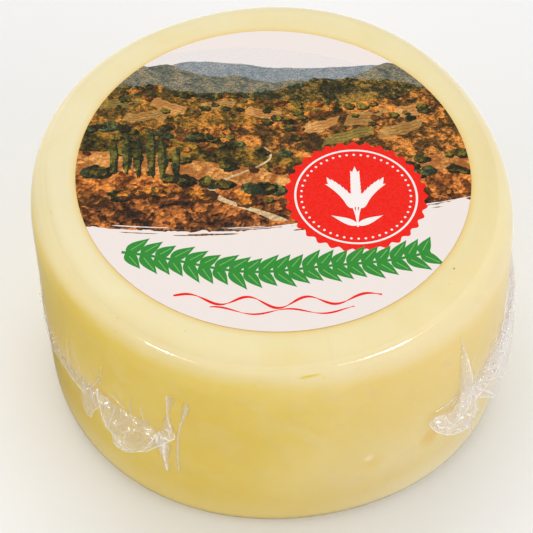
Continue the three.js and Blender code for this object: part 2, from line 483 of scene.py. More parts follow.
def cheese_cream_sheen(b, z, r):
    """Where the top is a whiter cream, partly painted sheen: inwards on the left, and a little along the far edge."""
    a = np.radians(b)
    left = np.exp(-(((front(b) + 172) / 48) ** 2)) + np.exp(-(((front(b) - 188) / 48) ** 2))
    far = np.exp(-(((np.degrees(np.arctan2(np.sin(a - math.pi / 2), np.cos(a - math.pi / 2)))) / 50) ** 2))
    return np.clip(0.95 * left * smooth(z, 70.5, 75.3) + 0.35 * far * smooth(z, 70, 75) * smooth(r, 52, 57), 0, 1)


def cheese_brow_shade(b, z, r):
    """Painted shade: the shoulder a little deeper in colour than the top, with more at the far left and a faint patch
    on the front of the side, a little to the left. It lies lower on the right.
    """
    a = np.radians(b)
    rim = np.exp(-(((front(b) + 171) / 17) ** 2)) * smooth(z, 66, 70) * (1 - 0.6 * smooth(z, 73.5, 75.6))
    belly = 0.45 * np.exp(-(((front(b) + 106) / 22) ** 2)) * smooth(z, 26, 40) * (1 - smooth(z, 58, 63))
    return np.clip(np.exp(-(((z - (68.6 - 3.2 * np.cos(a))) / (3.3 + 1.3 * np.cos(a))) ** 2)) + rim + belly, 0, 1)


def cheese_rim_shade(b, z, r):
    """Painted shade, deeper still: the shoulder at the far left and the side at the right."""
    left = 0.8 * np.exp(-(((front(b) + 172) / 15) ** 2)) * smooth(z, 63, 68) * (1 - smooth(z, 72.0, 75.4))
    right = 0.40 * np.exp(-(((front(b) + 20) / 16) ** 2)) * smooth(z, 22, 36) * (1 - smooth(z, 50, 60))
    return left + right


def cheese_foot_light(b, z, r):
    """Painted light from the floor: the foot of the side paler all round, most on the front right and right, and a
    paler patch low on the front right.
    """
    g = front(b)
    around = 0.42 + 0.80 * smooth(g, -80, -45) * on_right(g) + 0.30 * smooth(-g, 118, 140) * on_left(g)
    lit = 0.34 * smooth(g, -112, -56) * on_right(g) * (1 - smooth(z, 20, 46))
    return np.maximum((1 - smooth(z, 2, 19)) * around, lit) + 0.3 * lit


def wrinkles(b, z):
    """Upright wrinkles that run out of the seam into the clinging skin: 0 to 1, and the height above the seam."""
    f = np.where(b > -90, b - 360, b)
    d = z - seam_root(f)
    x = np.radians(f) * 63
    reach = np.where(d > 0, 4 + 12 * soft_noise(x / 4.2, 0 * x, 21) ** 1.5, 2 + 5 * soft_noise(x / 3.7, 0 * x, 22))
    turn = 1.6 * (soft_noise(x / 9, 0 * x, 25) - 0.5) * d / 9
    lines = (1 - np.abs(2 * soft_noise(x / 1.5 + turn, d / 22, 23) - 1)) ** 5 + 0.5 * (1 - np.abs(2 * soft_noise(x / 0.75 + turn, d / 18, 24) - 1)) ** 5
    fade = np.exp(-(np.abs(d) / np.maximum(reach, 1)) ** 1.4) * seam_on(f)
    return np.clip(lines * fade, 0, 1), d, f


def front_line(b, z, r):
    """A faint line of doubled film at the front, from the label's edge down over the shoulder."""
    return np.exp(-((front(b) + 74.2 + 0.012 * (z - 60)) / 0.28) ** 2) * smooth(z, 54, 64) * (r > 53.0)


def film_out(b, z, r):
    w, d, f = wrinkles(b, z)
    tent = 0.16 * np.exp(-(d / 2.4) ** 2) * seam_on(f)
    on_side = smooth(z, 6, 10) * (1 - smooth(z, 55, 66))
    x = np.radians(front(b)) * 63
    full = 1.9 * np.exp(-(((front(b) - 9) / 19) ** 4)) * smooth(z, 33 - 14, 33) * (1 - smooth(z, 34, 56)) ** 1.3
    slack = full + 0.04 * (soft_noise(x / 16, z / 30, 31) + soft_noise(x / 5, z / 24, 32) - 1)
    flat = np.where(z > HEIGHT - 0.5, 1 - smooth(r, 51.5, 56), 0)
    return (0.26 * w + tent) * on_side + np.clip(slack, 0, 2) * on_side + 0.06 * front_line(b, z, r) + 0.03 * flat


def film_milk(b, z, r):
    """How milky the skin is: along its wrinkles, round the seam, and as a faint haze on the right that is painted
    sheen.
    """
    w, d, f = wrinkles(b, z)
    on_side = smooth(z, 6, 10) * (1 - smooth(z, 50, 62))
    x = np.radians(f) * 63
    g = front(b)
    side = 0.35 + 0.65 * smooth(g, -60, -30) * on_right(g)
    near = np.exp(-(d / 2.8) ** 2) * seam_on(f) * (0.05 + 0.25 * side * soft_noise(x / 1.3, z / 1.8, 41))
    smear = smooth(soft_noise(x / 5.0 + z / 9, z / 7 - x / 30, 43), 0.62, 0.95) * 0.06 * smooth(z, 8, 20) * (1 - smooth(z, 56, 66))
    # haze is painted sheen: a white veil over the right side and a fainter one on the left
    haze = 0.125 * smooth(g, -98, -58) * (1 - 0.42 * smooth(g, -38, -18)) * on_right(g) * (1 - smooth(z, 66, 72)) + 0.035 * smooth(-g, 130, 150) * on_left(g) * (1 - smooth(z, 62, 68))
    return np.clip(((0.05 + 0.14 * side) * w + near) * on_side + smear + haze + 0.02 * front_line(b, z, r), 0, 0.7)


def film_drawn(b, z, r):
    """Where the skin is drawn into fine upright wrinkles: above and below the seam."""
    f = np.where(b > -90, b - 360, b)
    d = z - seam_root(f)
    x = np.radians(f) * 63
    reach = np.where(d > 0, 7 + 12 * soft_noise(x / 7, 0 * x, 27), 3 + 7 * soft_noise(x / 6, 0 * x, 28))
    beside_ear = 1 - 0.85 * smooth(f, -137, -131)
    return np.clip(np.exp(-(np.abs(d) / reach) ** 1.6), 0, 1) * seam_on(f) * beside_ear * smooth(z, 4, 9) * (1 - smooth(z, 56, 64)) * (0.45 + 0.55 * soft_noise(x / 5, z / 40, 29))


rows, normals = wheel_rows(14, 8, 84, 92, 16)
# tints of the cheese: pale and cream are partly painted sheen, brow and rim are painted shade, foot is painted light
# from the floor
cheese = wheel_body("cheese", rows, normals, 380, cheese_out, {"pale": cheese_pale_and_sheen, "cream": cheese_cream_sheen, "mark": cheese_mark, "brow_shade": cheese_brow_shade, "rim": cheese_rim_shade, "foot": cheese_foot_light})
rows, normals = wheel_rows(8, 8, 96, 24, 8)
film = wheel_body("film_skin", rows, normals, 600, film_out, {"milk": film_milk, "drawn": film_drawn})

# ---------------------------------------------------------------------------------------------
# The fin of the seam, its dog ears and the pleats that run into them
# ---------------------------------------------------------------------------------------------
FILM_THICK = 0.07


def curve(points, n):
    """n points, evenly spaced, on a smooth curve through rows of numbers."""
    p = np.asarray(points, float)
    p = np.concatenate([[2 * p[0] - p[1]], p, [2 * p[-1] - p[-2]]])
    out = []
    for k in range(1, len(p) - 2):
        t = np.linspace(0, 1, 24, endpoint=False)[:, None]
        a, b, c, d = p[k - 1], p[k], p[k + 1], p[k + 2]
        out.append(0.5 * (2 * b + (c - a) * t + (2 * a - 5 * b + 4 * c - d) * t**2 + (3 * b - a - 3 * c + d) * t**3))
    out = np.concatenate(out + [p[-2:-1]])
    step = out[:, :2] * [1.1, 1.0]
    s = np.concatenate([[0], np.cumsum(np.linalg.norm(np.diff(step, axis=0), axis=1))])
    return np.stack([np.interp(np.linspace(0, s[-1], n), s, out[:, i]) for i in range(out.shape[1])], -1)


def skin_height(b, z):
    """How far the clinging skin itself stands off the wheel at bearings and heights on the side."""
    return film_out(np.asarray(b, float), np.asarray(z, float), 0 * np.asarray(b, float) + RADIUS)


def near_line(b, z, line):
    """Distance in mm from points to a line of bearings and heights, and 0 to 1 along it."""
    p = curve(line, 40)
    px, py = np.radians(p[:, 0]) * 63.5, p[:, 1]
    x, y = np.radians(b) * 63.5, z
    best, along = np.full(x.shape, 1e9), np.zeros(x.shape)
    for k in range(len(px) - 1):
        dx, dy = px[k + 1] - px[k], py[k + 1] - py[k]
        t = np.clip(((x - px[k]) * dx + (y - py[k]) * dy) / max(dx * dx + dy * dy, 1e-9), 0, 1)
        d = np.hypot(x - px[k] - t * dx, y - py[k] - t * dy)
        hit = d < best
        best, along = np.where(hit, d, best), np.where(hit, (k + t) / (len(px) - 1), along)
    return best, along


def membrane(parts, root, edge, rows, cols, swell=0.0, facet=3.4, rough=0.35, folds=(), milk=0.2, edge_milk=0.6, rim_mm=0.22, seed=1, fine=0.12, crease=0.08, fade=0.0):
    """A sheet of loose film from its root to its free edge, each given as bearing, height and stand-off.

    It has large flat facets and named folds: (line, lift in mm, half width in mm, whiteness, line width in mm)."""
    a, b = curve(root, cols), curve(edge, cols)
    v = np.linspace(0, 1, rows)[:, None, None]
    p = a[None] * (1 - v) + b[None] * v
    v, u = v[..., 0] + 0 * np.linspace(0, 1, cols)[None, :], np.linspace(0, 1, cols)[None, :] + 0 * v[..., 0]
    bearing, z = p[..., 0], p[..., 1]
    x = np.radians(bearing) * 63.5
    size = np.hypot(np.radians(a[:, 0] - b[:, 0]) * 63.5, a[:, 1] - b[:, 1])[None, :]
    h1, c1 = crumple(x / facet, z / facet, seed)
    h2, c2 = crumple(x / facet * 2.6, z / facet * 2.6, seed + 5)
    loose = np.clip(v / 0.25, 0, 1) * np.clip(np.minimum(u, 1 - u) / 0.08, 0, 1)
    out = p[..., 2] + swell * np.sin(np.pi * np.clip(v, 0, 1)) * np.sin(np.pi * u) ** 0.6
    out = out + (rough * (h1 - 0.5) * 2 + fine * (h2 - 0.5) * 2) * loose
    m = milk * (0.75 + 0.5 * h1) + crease * np.clip(c1 - 0.45, 0, 1) * loose * min(rough / 0.3, 1)
    for line, lift, half, white, width in folds:
        d, t = near_line(bearing, z, line)
        ends = np.clip(np.minimum(t, 1 - t) / 0.1, 0, 1) ** 0.5
        out = out + lift * np.clip(1 - d / half, 0, 1) * ends
        m = m + white * np.exp(-((d / width) ** 2)) * (0.3 + 0.7 * ends)
    out = np.maximum(out, skin_height(bearing, z) + 0.12)
    sheet = skin_point(bearing, z, out)
    n = sheet_normals(sheet, outward_at(bearing))
    points, quads = shell(sheet, FILM_THICK, n)
    m = m + edge_milk * (0.55 + 0.9 * soft_noise(x * 1.4, z * 1.4, seed + 9)) * np.exp(-(((1 - v) * size / rim_mm) ** 1.5))
    m = np.clip(m * (1 - fade * (1 - smooth(u, 0, 0.3))), 0.03, 0.95)
    parts.add(points, quads[:, ::-1] if grid_facing(sheet, n) else quads, milk=np.concatenate([m.ravel(), 0.4 * m.ravel()]))


def grid_facing(sheet, n):
    """True if a sheet's quads, as grid_quads orders them, face away from n."""
    i, j = sheet.shape[0] // 2, sheet.shape[1] // 2
    q = sheet[i, j], sheet[i, j + 1], sheet[i + 1, j + 1], sheet[i + 1, j]
    face = np.cross(q[1] - q[0], q[3] - q[0])
    return float((face * n[i, j]).sum()) < 0


def pleat(parts, path, left, right, lift, milk=0.15, crest=0.55, line=0.15, n=70, seed=0):
    """A fold of film that stands off the skin along a path of bearings and heights, wider to one side or the other."""
    p = curve([(b, z, l, r) for (b, z), l, r in zip(path, left, right)], n)
    centre = skin_point(p[:, 0], p[:, 1], 0)
    t = np.gradient(centre, axis=0)
    t /= np.linalg.norm(t, axis=1, keepdims=True)
    o = outward_at(p[:, 0])
    side = np.cross(o, t)
    side = np.where(side[:, :1] * o[:, 1:2] * 0 + (np.cross(np.array([0.0, 0, 1.0]), o) * side).sum(1, keepdims=True) < 0, -side, side)  # towards +bearing, the right seen from outside
    u = np.linspace(0, 1, n)
    ends = np.clip(np.minimum(u, 1 - u) / 0.06, 0, 1) ** 0.7
    wob = 0.10 * (soft_noise(u * n / 7, 0 * u, 60 + seed) - 0.5)
    w0, w1 = np.maximum(p[:, 2], 0.12), np.maximum(p[:, 3], 0.12)
    sections, ms = [], []
    for s in (-1, -0.7, -0.45, -0.25, -0.1, 0, 0.1, 0.25, 0.45, 0.7, 1):
        w = w0 if s < 0 else w1
        across = s * w * (0.3 + 0.7 * ends)
        height = lift * (1 - abs(s)) ** 1.3 * ends * (0.4 + 0.6 * np.clip((w0 + w1) / 1.2, 0, 1))
        db = np.degrees((across + wob) / 63.5)
        base = skin_height(p[:, 0] + db, p[:, 1])
        sections.append(centre + side * (across + wob * (1 - abs(s)))[:, None] + o * (base + 0.09 + height)[:, None])
        ms.append((milk * (1 - abs(s)) ** 0.6 + crest * np.exp(-((s * w / line) ** 2))) * (0.25 + 0.75 * ends) * (0.8 + 0.4 * soft_noise(u * n / 4, 0 * u, 70 + seed)))
    for s in (0.6, 0, -0.6):
        w = w0 if s < 0 else w1
        base = skin_height(p[:, 0], p[:, 1])
        sections.append(centre + side * (s * w)[:, None] + o * (base + 0.05)[:, None])
        ms.append(np.full(n, 0.03))
    ring = np.stack(sections, 1)
    k = ring.shape[1]
    quads = grid_quads(n, k, wrap=True)
    tris = np.array([(0, i + 1, i) for i in range(1, k - 1)] + [((n - 1) * k, (n - 1) * k + i, (n - 1) * k + i + 1) for i in range(1, k - 1)])
    face = np.cross(ring[n // 2, 5] - ring[n // 2, 4], ring[n // 2 + 1, 4] - ring[n // 2, 4])
    if float((face * o[n // 2]).sum()) > 0:
        parts.add(ring.reshape(-1, 3), quads, tris, milk=np.stack(ms, 1).ravel())
    else:
        parts.add(ring.reshape(-1, 3), quads[:, ::-1], tris[:, ::-1], milk=np.stack(ms, 1).ravel())


# the fin itself, all the way round from the left front ear to the right front one
fin = Parts()
b = np.linspace(SEAM_START - 26.6, SEAM_END + 15.0, 900)
f_right = bump(b, -375, 20)
hang = 3.5 + 0.4 * np.sin(np.radians(9 * b)) + 0.5 * (soft_noise(np.radians(b) * 9, 0 * b, 71) - 0.5) + 0.3 * (soft_noise(np.radians(b) * 26, 0 * b, 72) - 0.5)
hang = hang * (1 - 0.28 * bump(b, -148, 18)) + 2.0 * sum(bump(b, c, 8) for c in BACK_EARS)
off = 1.1 + 0.3 * np.sin(np.radians(13 * b) + 1) + 1.7 * bump(b, -368, 22) + 1.2 * sum(bump(b, c, 8) for c in BACK_EARS)
tight = 1 - 0.78 * np.exp(-(((b + 177) / 17) ** 4))  # on the left the fin lies close to the side
off = off * tight
root = seam_root(b)
for part in range(4):  # four stretches of one fin, which meet
    i0, i1 = part * 225, min((part + 1) * 225 + 1, 900)
    pick = np.unique(np.concatenate([np.arange(i0, i1, 7), [i1 - 1]]))
    right_end = float(f_right[i0:i1].mean())
    membrane(fin,
             np.stack([b, root, 0.30 * tight + 0.02], -1)[pick], np.stack([b, root - hang, off], -1)[pick],
             15, 500, swell=0.12 + 0.6 * right_end, facet=3.4, rough=0.14, fine=0.05,
             milk=0.15 + 0.19 * right_end, edge_milk=0.85, rim_mm=0.30, seed=7, crease=0.22)
film_seam = fin.build("film_seam")

# the left front ear: one folded sheet with a sharp ridge, a fan of creases at its tip, and a small lobe beside it
left = Parts()
membrane(
    left,
    [(-133.9, 39.3, 0.5), (-132.0, 37.8, 0.5), (-128.6, 37.4, 0.5), (-123.8, 37.2, 0.6), (-120.5, 37.5, 0.6), (-117.6, 36.8, 0.7), (-115.2, 38.0, 0.9), (-112.9, 41.0, 0.9)],
    [(-133.9, 37.6, 0.7), (-132.6, 33.2, 1.2), (-131.4, 29.7, 1.9), (-129.6, 27.9, 2.4), (-128.8, 24.4, 2.4), (-128.5, 21.2, 2.4), (-126.6, 20.9, 2.5), (-124.2, 21.9, 2.6), (-120.9, 25.4, 2.6), (-118.4, 28.0, 2.5), (-115.5, 32.0, 2.3), (-113.2, 35.2, 2.0), (-111.6, 37.0, 1.7), (-111.5, 38.9, 1.3)],
    104, 150, swell=0.6, facet=4.4, rough=0.34, fine=0.06, milk=0.21, edge_milk=0.95, rim_mm=0.28, seed=104, crease=0.30,
    folds=(
        ([(-133.7, 39.0), (-132.0, 35.4), (-131.0, 32.0), (-129.0, 29.2), (-126.7, 27.1), (-124.5, 25.7), (-121.3, 25.0)], 1.0, 1.9, 0.65, 0.17),
        ([(-115.3, 38.0), (-117.0, 33.6), (-119.5, 27.6)], 0.8, 1.5, 0.42, 0.16),
        ([(-115.3, 38.0), (-114.1, 36.3), (-113.2, 34.9)], 0.6, 1.0, 0.62, 0.16),
        ([(-115.6, 36.6), (-115.8, 33.6)], -0.3, 0.8, 0.60, 0.24),
        ([(-113.9, 37.0), (-112.6, 36.1)], 0.3, 0.7, 0.72, 0.22),
        ([(-115.2, 38.3), (-113.5, 39.6), (-112.2, 38.4)], 0.3, 0.8, 0.55, 0.16),
        ([(-128.1, 39.1), (-128.0, 36.5), (-128.8, 28.8)], 0.5, 1.2, 0.34, 0.16),
        ([(-125.9, 26.3), (-124.8, 25.1)], 0.3, 0.7, 0.70, 0.20),
        ([(-124.6, 22.8), (-122.3, 24.9)], 0.2, 0.6, 0.70, 0.20),
        ([(-124.9, 28.8), (-124.0, 26.6), (-121.1, 25.4)], 0.5, 1.0, 0.40, 0.15),
        ([(-126.8, 28.6), (-122.3, 32.9), (-120.0, 34.2), (-118.7, 33.3)], 0.45, 1.2, 0.26, 0.17),
        ([(-120.1, 30.3), (-118.7, 33.4), (-116.8, 35.4)], 0.4, 1.0, 0.24, 0.16),
        ([(-130.6, 36.6), (-129.2, 33.8), (-128.9, 31.0)], 0.35, 0.9, 0.22, 0.16),
        ([(-124.4, 36.8), (-125.6, 33.0), (-128.0, 30.0)], 0.5, 1.4, 0.14, 0.2),
        ([(-127.8, 25.8), (-126.7, 23.6), (-127.2, 21.4)], 0.3, 0.8, 0.45, 0.16),
        ([(-126.4, 36.8), (-126.0, 33.6), (-127.6, 30.8)], 0.35, 0.8, 0.34, 0.13),
        ([(-122.6, 36.6), (-121.8, 34.4), (-122.6, 31.6)], 0.25, 0.7, 0.22, 0.13),
        ([(-130.9, 30.4), (-129.0, 26.8), (-126.2, 23.6), (-124.6, 22.4)], 0.4, 0.8, 0.50, 0.14),
        ([(-119.6, 29.8), (-117.6, 31.2), (-116.4, 33.8)], 0.3, 0.7, 0.40, 0.13),
        ([(-128.4, 22.6), (-126.4, 22.2), (-124.4, 23.4)], 0.3, 0.6, 0.60, 0.16),
        ([(-114.6, 36.9), (-114.6, 34.4)], 0.3, 0.6, 0.55, 0.14),
        ([(-113.0, 38.6), (-112.2, 37.4)], 0.25, 0.5, 0.70, 0.16),
    ))
membrane(
    left,
    [(-140.2, 34.6, 0.5), (-138.6, 34.8, 0.6), (-136.4, 35.6, 0.7), (-134.2, 37.0, 0.6)],
    [(-139.4, 31.4, 1.1), (-139.9, 27.4, 1.6), (-139.0, 23.4, 1.7), (-137.3, 22.2, 1.7), (-136.2, 24.4, 1.6), (-135.0, 28.2, 1.5), (-133.4, 31.0, 1.3)],
    84, 70, swell=0.5, facet=2.4, rough=0.3, fine=0.08, milk=0.20, edge_milk=0.90, rim_mm=0.28, seed=151, crease=0.40,
    folds=(
        ([(-137.9, 34.2), (-137.6, 29.4), (-137.6, 25.0)], 0.5, 0.8, 0.30, 0.16),
        ([(-136.6, 35.0), (-136.9, 31.0), (-136.6, 27.4)], -0.3, 0.7, 0.34, 0.18),
        ([(-135.2, 35.6), (-134.9, 32.6), (-134.4, 30.6)], 0.4, 0.8, 0.45, 0.16),
    ))
ear_left = left.build("film_ear_left")

# the right front ear: a rounded lobe with a tall curved leaf standing over it, and two small flaps
rightp = Parts()
membrane(
    rightp,
    [(-33.6, 31.6, 0.6), (-36.4, 33.0, 0.8), (-39.4, 33.6, 1.1), (-41.2, 31.6, 1.3), (-42.8, 30.4, 1.4), (-44.6, 31.6, 1.5), (-46.4, 33.0, 1.5), (-48.2, 33.6, 1.4), (-49.2, 33.0, 1.3)],
    [(-33.8, 29.8, 1.4), (-33.4, 26.0, 2.1), (-33.4, 21.8, 2.4), (-34.8, 18.8, 2.5), (-37.3, 17.7, 2.6), (-40.4, 19.1, 2.6), (-44.2, 22.6, 2.6), (-47.4, 26.8, 2.5), (-49.2, 30.0, 2.1), (-49.8, 32.2, 1.5)],
    96, 140, swell=0.8, facet=3.2, rough=0.32, fine=0.07, milk=0.33, edge_milk=0.95, rim_mm=0.30, seed=211, crease=0.40,
    folds=(
        ([(-46.6, 31.2), (-48.0, 31.4), (-47.4, 29.6), (-46.0, 28.9)], 0.4, 0.7, 0.65, 0.18),
        ([(-45.2, 31.6), (-44.6, 29.0), (-42.6, 26.2)], 0.4, 0.9, 0.34, 0.16),
        ([(-36.6, 31.7), (-35.3, 27.1), (-34.9, 23.4), (-35.8, 21.7), (-37.6, 21.2), (-40.1, 22.1), (-43.2, 23.6)], 0.45, 0.8, 0.28, 0.20),
        ([(-45.4, 27.4), (-42.0, 25.4), (-39.6, 24.6)], 0.5, 0.8, 0.40, 0.15),
        ([(-40.6, 26.4), (-39.3, 25.2)], 0.3, 0.6, 0.85, 0.30),
        ([(-37.9, 24.9), (-36.9, 23.4)], 0.3, 0.6, 0.85, 0.28),
        ([(-46.6, 25.6), (-44.0, 23.2)], 0.3, 0.6, 0.45, 0.16),
        ([(-41.6, 22.4), (-39.0, 20.4)], 0.3, 0.6, 0.40, 0.16),
    ))
membrane(
    rightp,  # the broad skirt that stands off at the right
    [(18.0, 34.0, 0.15), (8.0, 34.4, 0.2), (0.0, 34.2, 0.25), (-8.0, 33.4, 0.25), (-15.0, 32.8, 0.25), (-20.0, 32.8, 0.25), (-25.0, 32.6, 0.25), (-30.0, 32.2, 0.25), (-33.6, 31.6, 0.25)],
    [(16.0, 28.4, 1.6), (9.0, 26.0, 2.4), (2.0, 22.6, 2.7), (-5.0, 18.6, 2.7), (-11.0, 15.4, 2.7), (-16.0, 15.2, 2.5), (-20.6, 14.4, 2.5), (-24.6, 15.2, 2.5), (-28.5, 20.2, 2.0), (-31.5, 23.6, 1.6), (-33.8, 27.2, 1.0)],
    66, 290, swell=1.0, facet=4.4, rough=0.26, fine=0.05, milk=0.32, edge_milk=0.65, rim_mm=0.30, seed=271, crease=0.26,
    folds=(
        ([(-32.6, 29.0), (-29.4, 24.2), (-25.4, 17.4)], 0.6, 1.1, 0.45, 0.20),
        ([(-31.0, 30.4), (-27.6, 27.0), (-23.4, 22.8), (-20.8, 18.6)], 0.5, 1.0, 0.40, 0.18),
        ([(-27.2, 30.4), (-23.6, 27.6), (-20.0, 26.2)], 0.45, 0.9, 0.34, 0.16),
        ([(-21.6, 30.6), (-18.2, 27.0), (-15.6, 21.4)], 0.5, 1.0, 0.25, 0.18),
    ))
membrane(
    rightp,  # the leaf
    [(-40.2, 59.4, 0.12), (-39.7, 54.0, 0.20), (-39.4, 46.0, 0.3), (-39.2, 37.6, 0.6), (-40.2, 33.2, 1.7), (-42.2, 30.0, 2.7), (-44.4, 27.6, 3.0)],
    [(-40.0, 59.5, 0.14), (-38.8, 53.0, 0.8), (-37.6, 47.2, 1.3), (-36.4, 40.4, 1.8), (-36.2, 35.6, 2.3), (-37.0, 31.6, 2.8), (-38.6, 29.0, 3.0), (-41.4, 27.0, 3.1), (-43.6, 26.6, 3.1)],
    40, 190, swell=0.3, facet=9.0, rough=0.06, fine=0.0, milk=0.27, edge_milk=0.70, rim_mm=0.28, seed=251, fade=0.85,
    folds=(
        ([(-39.6, 50.0), (-38.7, 41.0), (-38.2, 33.4), (-38.8, 28.6)], 0.25, 0.9, 0.14, 0.22),
    ))
membrane(
    rightp,  # and a small one below
    [(-37.6, 18.6, 1.3), (-36.2, 18.2, 1.3), (-34.8, 18.8, 1.3)],
    [(-36.8, 16.6, 1.4), (-34.6, 12.6, 1.5), (-33.2, 10.4, 1.5)],
    30, 34, swell=0.1, facet=3.0, rough=0.08, fine=0.03, milk=0.28, edge_milk=0.4, rim_mm=0.24, seed=281)
ear_right = rightp.build("film_ear_right")

backp = Parts()
for k, c in enumerate(BACK_EARS):
    turn = 1 if k == 0 else -1
    membrane(
        backp,
        [(c - 11 * turn, 34.2, 0.5), (c - 4 * turn, 34.6, 0.6), (c + 4 * turn, 34.2, 0.6), (c + 10 * turn, 35.2, 0.6)],
        [(c - 9.5 * turn, 30.4, 1.2), (c - 6 * turn, 25.4, 2.3), (c - 1 * turn, 21.2, 2.9), (c + 4 * turn, 23.4, 2.7), (c + 9 * turn, 29.0, 2.0), (c + 11.5 * turn, 33.6, 1.2)],
        72, 112, swell=0.6, facet=4.0, rough=0.36, fine=0.08, milk=0.20, edge_milk=0.58, rim_mm=0.24, seed=301 + 20 * k,
        folds=(
            ([(c - 9 * turn, 35.0), (c - 6 * turn, 30.0), (c + 1 * turn, 25.0)], 0.9, 1.7, 0.55, 0.17),
            ([(c + 8 * turn, 34.6), (c + 5 * turn, 29.6), (c + 2 * turn, 24.6)], 0.7, 1.4, 0.40, 0.16),
            ([(c + 8 * turn, 34.6), (c + 9 * turn, 31.4)], 0.4, 0.9, 0.5, 0.16),
            ([(c - 2 * turn, 34.8), (c - 1 * turn, 29.6)], 0.5, 1.1, 0.3, 0.16),
        ))
ear_back = backp.build("film_ears_back")

pleats = Parts()
# left front: the forked crease, the thin ones over the ear, the two long ones and the tail
pleat(pleats, [(-132.9, 44.4), (-134.6, 39.9), (-136.6, 35.8), (-138.6, 32.6)], (0.30, 0.35, 0.4, 0.4), (0.30, 0.35, 0.4, 0.4), 0.6, milk=0.10, crest=0.50, seed=1)
pleat(pleats, [(-132.0, 49.0), (-132.7, 45.8), (-133.0, 41.6)], (0.35, 0.40, 0.5), (0.35, 0.40, 0.4), 0.35, milk=0.16, crest=0.22, seed=2)
pleat(pleats, [(-123.3, 44.6), (-123.5, 41.0), (-124.0, 37.0)], (0.35, 0.40, 0.4), (0.35, 0.40, 0.4), 0.45, milk=0.14, crest=0.34, seed=4)
pleat(pleats, [(-120.7, 43.2), (-120.2, 40.3), (-119.1, 36.8)], (0.2, 0.35, 0.5), (0.2, 0.35, 0.5), 0.6, milk=0.12, crest=0.5, seed=5)
pleat(pleats, [(-113.2, 54.2), (-113.4, 50.4), (-113.4, 45.7), (-113.0, 41.6), (-112.6, 37.6)], (0.30, 0.30, 0.45, 2.2, 3.4), (2.9, 1.9, 0.6, 0.6, 0.8), 0.45, milk=0.36, crest=0.34, line=0.2, seed=6)
pleat(pleats, [(-108.5, 53.0), (-108.7, 49.6), (-110.2, 43.0), (-111.1, 37.0), (-111.6, 30.0), (-111.7, 19.4)], (1.7, 1.2, 0.50, 0.50, 0.55, 0.45), (1.4, 1.0, 0.45, 0.42, 0.5, 0.42), 0.2, milk=0.36, crest=0.14, line=0.26, seed=7, n=110)
pleat(pleats, [(-115.0, 32.0), (-115.2, 28.2), (-115.2, 23.6), (-114.8, 18.2)], (3.2, 2.7, 1.1, 0.6), (2.2, 1.9, 1.1, 0.7), 0.4, milk=0.60, crest=0.24, line=0.25, seed=8)
pleat(pleats, [(-129.9, 40.4), (-127.0, 39.2), (-125.2, 38.0)], (0.3, 0.35, 0.3), (0.3, 0.35, 0.3), 0.4, milk=0.10, crest=0.35, seed=9, n=40)
# right front: small ones that cross the leaf's foot
pleat(pleats, [(-47.2, 33.0), (-44.4, 33.2), (-41.4, 33.2), (-39.0, 33.4)], (0.25, 0.3, 0.3, 0.25), (0.25, 0.3, 0.3, 0.25), 0.4, milk=0.12, crest=0.60, seed=12, n=50)
pleat(pleats, [(-42.9, 28.6), (-41.6, 30.6), (-39.4, 32.0)], (0.25, 0.3, 0.25), (0.25, 0.3, 0.25), 0.4, milk=0.12, crest=0.60, seed=13, n=50)
pleat(pleats, [(-35.3, 41.4), (-34.0, 44.0)], (0.25, 0.2), (0.25, 0.2), 0.3, milk=0.06, crest=0.45, seed=14, n=20)
# fine ones along the seam, and round the back
rng = np.random.default_rng(17)
for k in range(60):
    c = rng.uniform(-396, -141)
    if -230 > c > -246 or -292 > c > -308:
        continue
    z = float(seam_root(np.array(c)))
    rise = rng.uniform(2.0, 9.5) * (1 if rng.random() < 0.72 else -0.8)
    drift = rng.uniform(-2.2, 2.2)
    w = rng.uniform(0.2, 0.45)
    pleat(pleats, [(c, z + 0.4 * np.sign(rise)), (c + drift * 0.6, z + rise * 0.5), (c + drift, z + rise)],
          (w, w * 0.8, 0.12), (w, w * 0.8, 0.12), rng.uniform(0.2, 0.5), milk=0.07, crest=rng.uniform(0.14, 0.36), seed=100 + k, n=30)
film_pleats = pleats.build("film_pleats")


# ---- small beads where the film was melted along the seal ----
def bead_mesh(parts, centre, radii, normal, milk):
    rings, seg = 5, 8
    n = Vector(normal).normalized()
    t = n.orthogonal().normalized()
    s = n.cross(t)
    pts, tris, quads = [centre + np.array(n) * radii[2]], [], []
    for i in range(1, rings):
        p = math.pi * i / rings
        for j in range(seg):
            q = TAU * j / seg
            pts.append(centre + np.array(n) * radii[2] * math.cos(p) + np.array(t) * radii[0] * math.sin(p) * math.cos(q) + np.array(s) * radii[1] * math.sin(p) * math.sin(q))
    pts.append(centre - np.array(n) * radii[2])
    last = len(pts) - 1
    for j in range(seg):
        k = (j + 1) % seg
        tris.append((0, 1 + j, 1 + k))
        tris.append((last, 1 + (rings - 2) * seg + k, 1 + (rings - 2) * seg + j))
        for i in range(rings - 2):
            a = 1 + i * seg
            quads.append((a + j, a + seg + j, a + seg + k, a + k))
    parts.add(np.array(pts), quads, tris, milk=milk)


beads = Parts()
rng = np.random.default_rng(5)


def bead(b, z, out, r, milk, high=0.8):
    bead_mesh(beads, skin_point(b, z, out), (r * rng.uniform(0.85, 1.25), r, r * high), outward_at(b), milk)


def bead_run(b0, b1, count, dz, spread, out, size, milk=0.3):
    for _ in range(count):
        c = rng.uniform(b0, b1)
        z = float(seam_root(np.array(c))) + dz + rng.normal(0, spread)
        r = size * rng.uniform(0.45, 1.4)
        bead(c, z, float(skin_height(c, z)) + out + abs(rng.normal(0, 0.15)), r, milk * rng.uniform(0.3, 2.0))


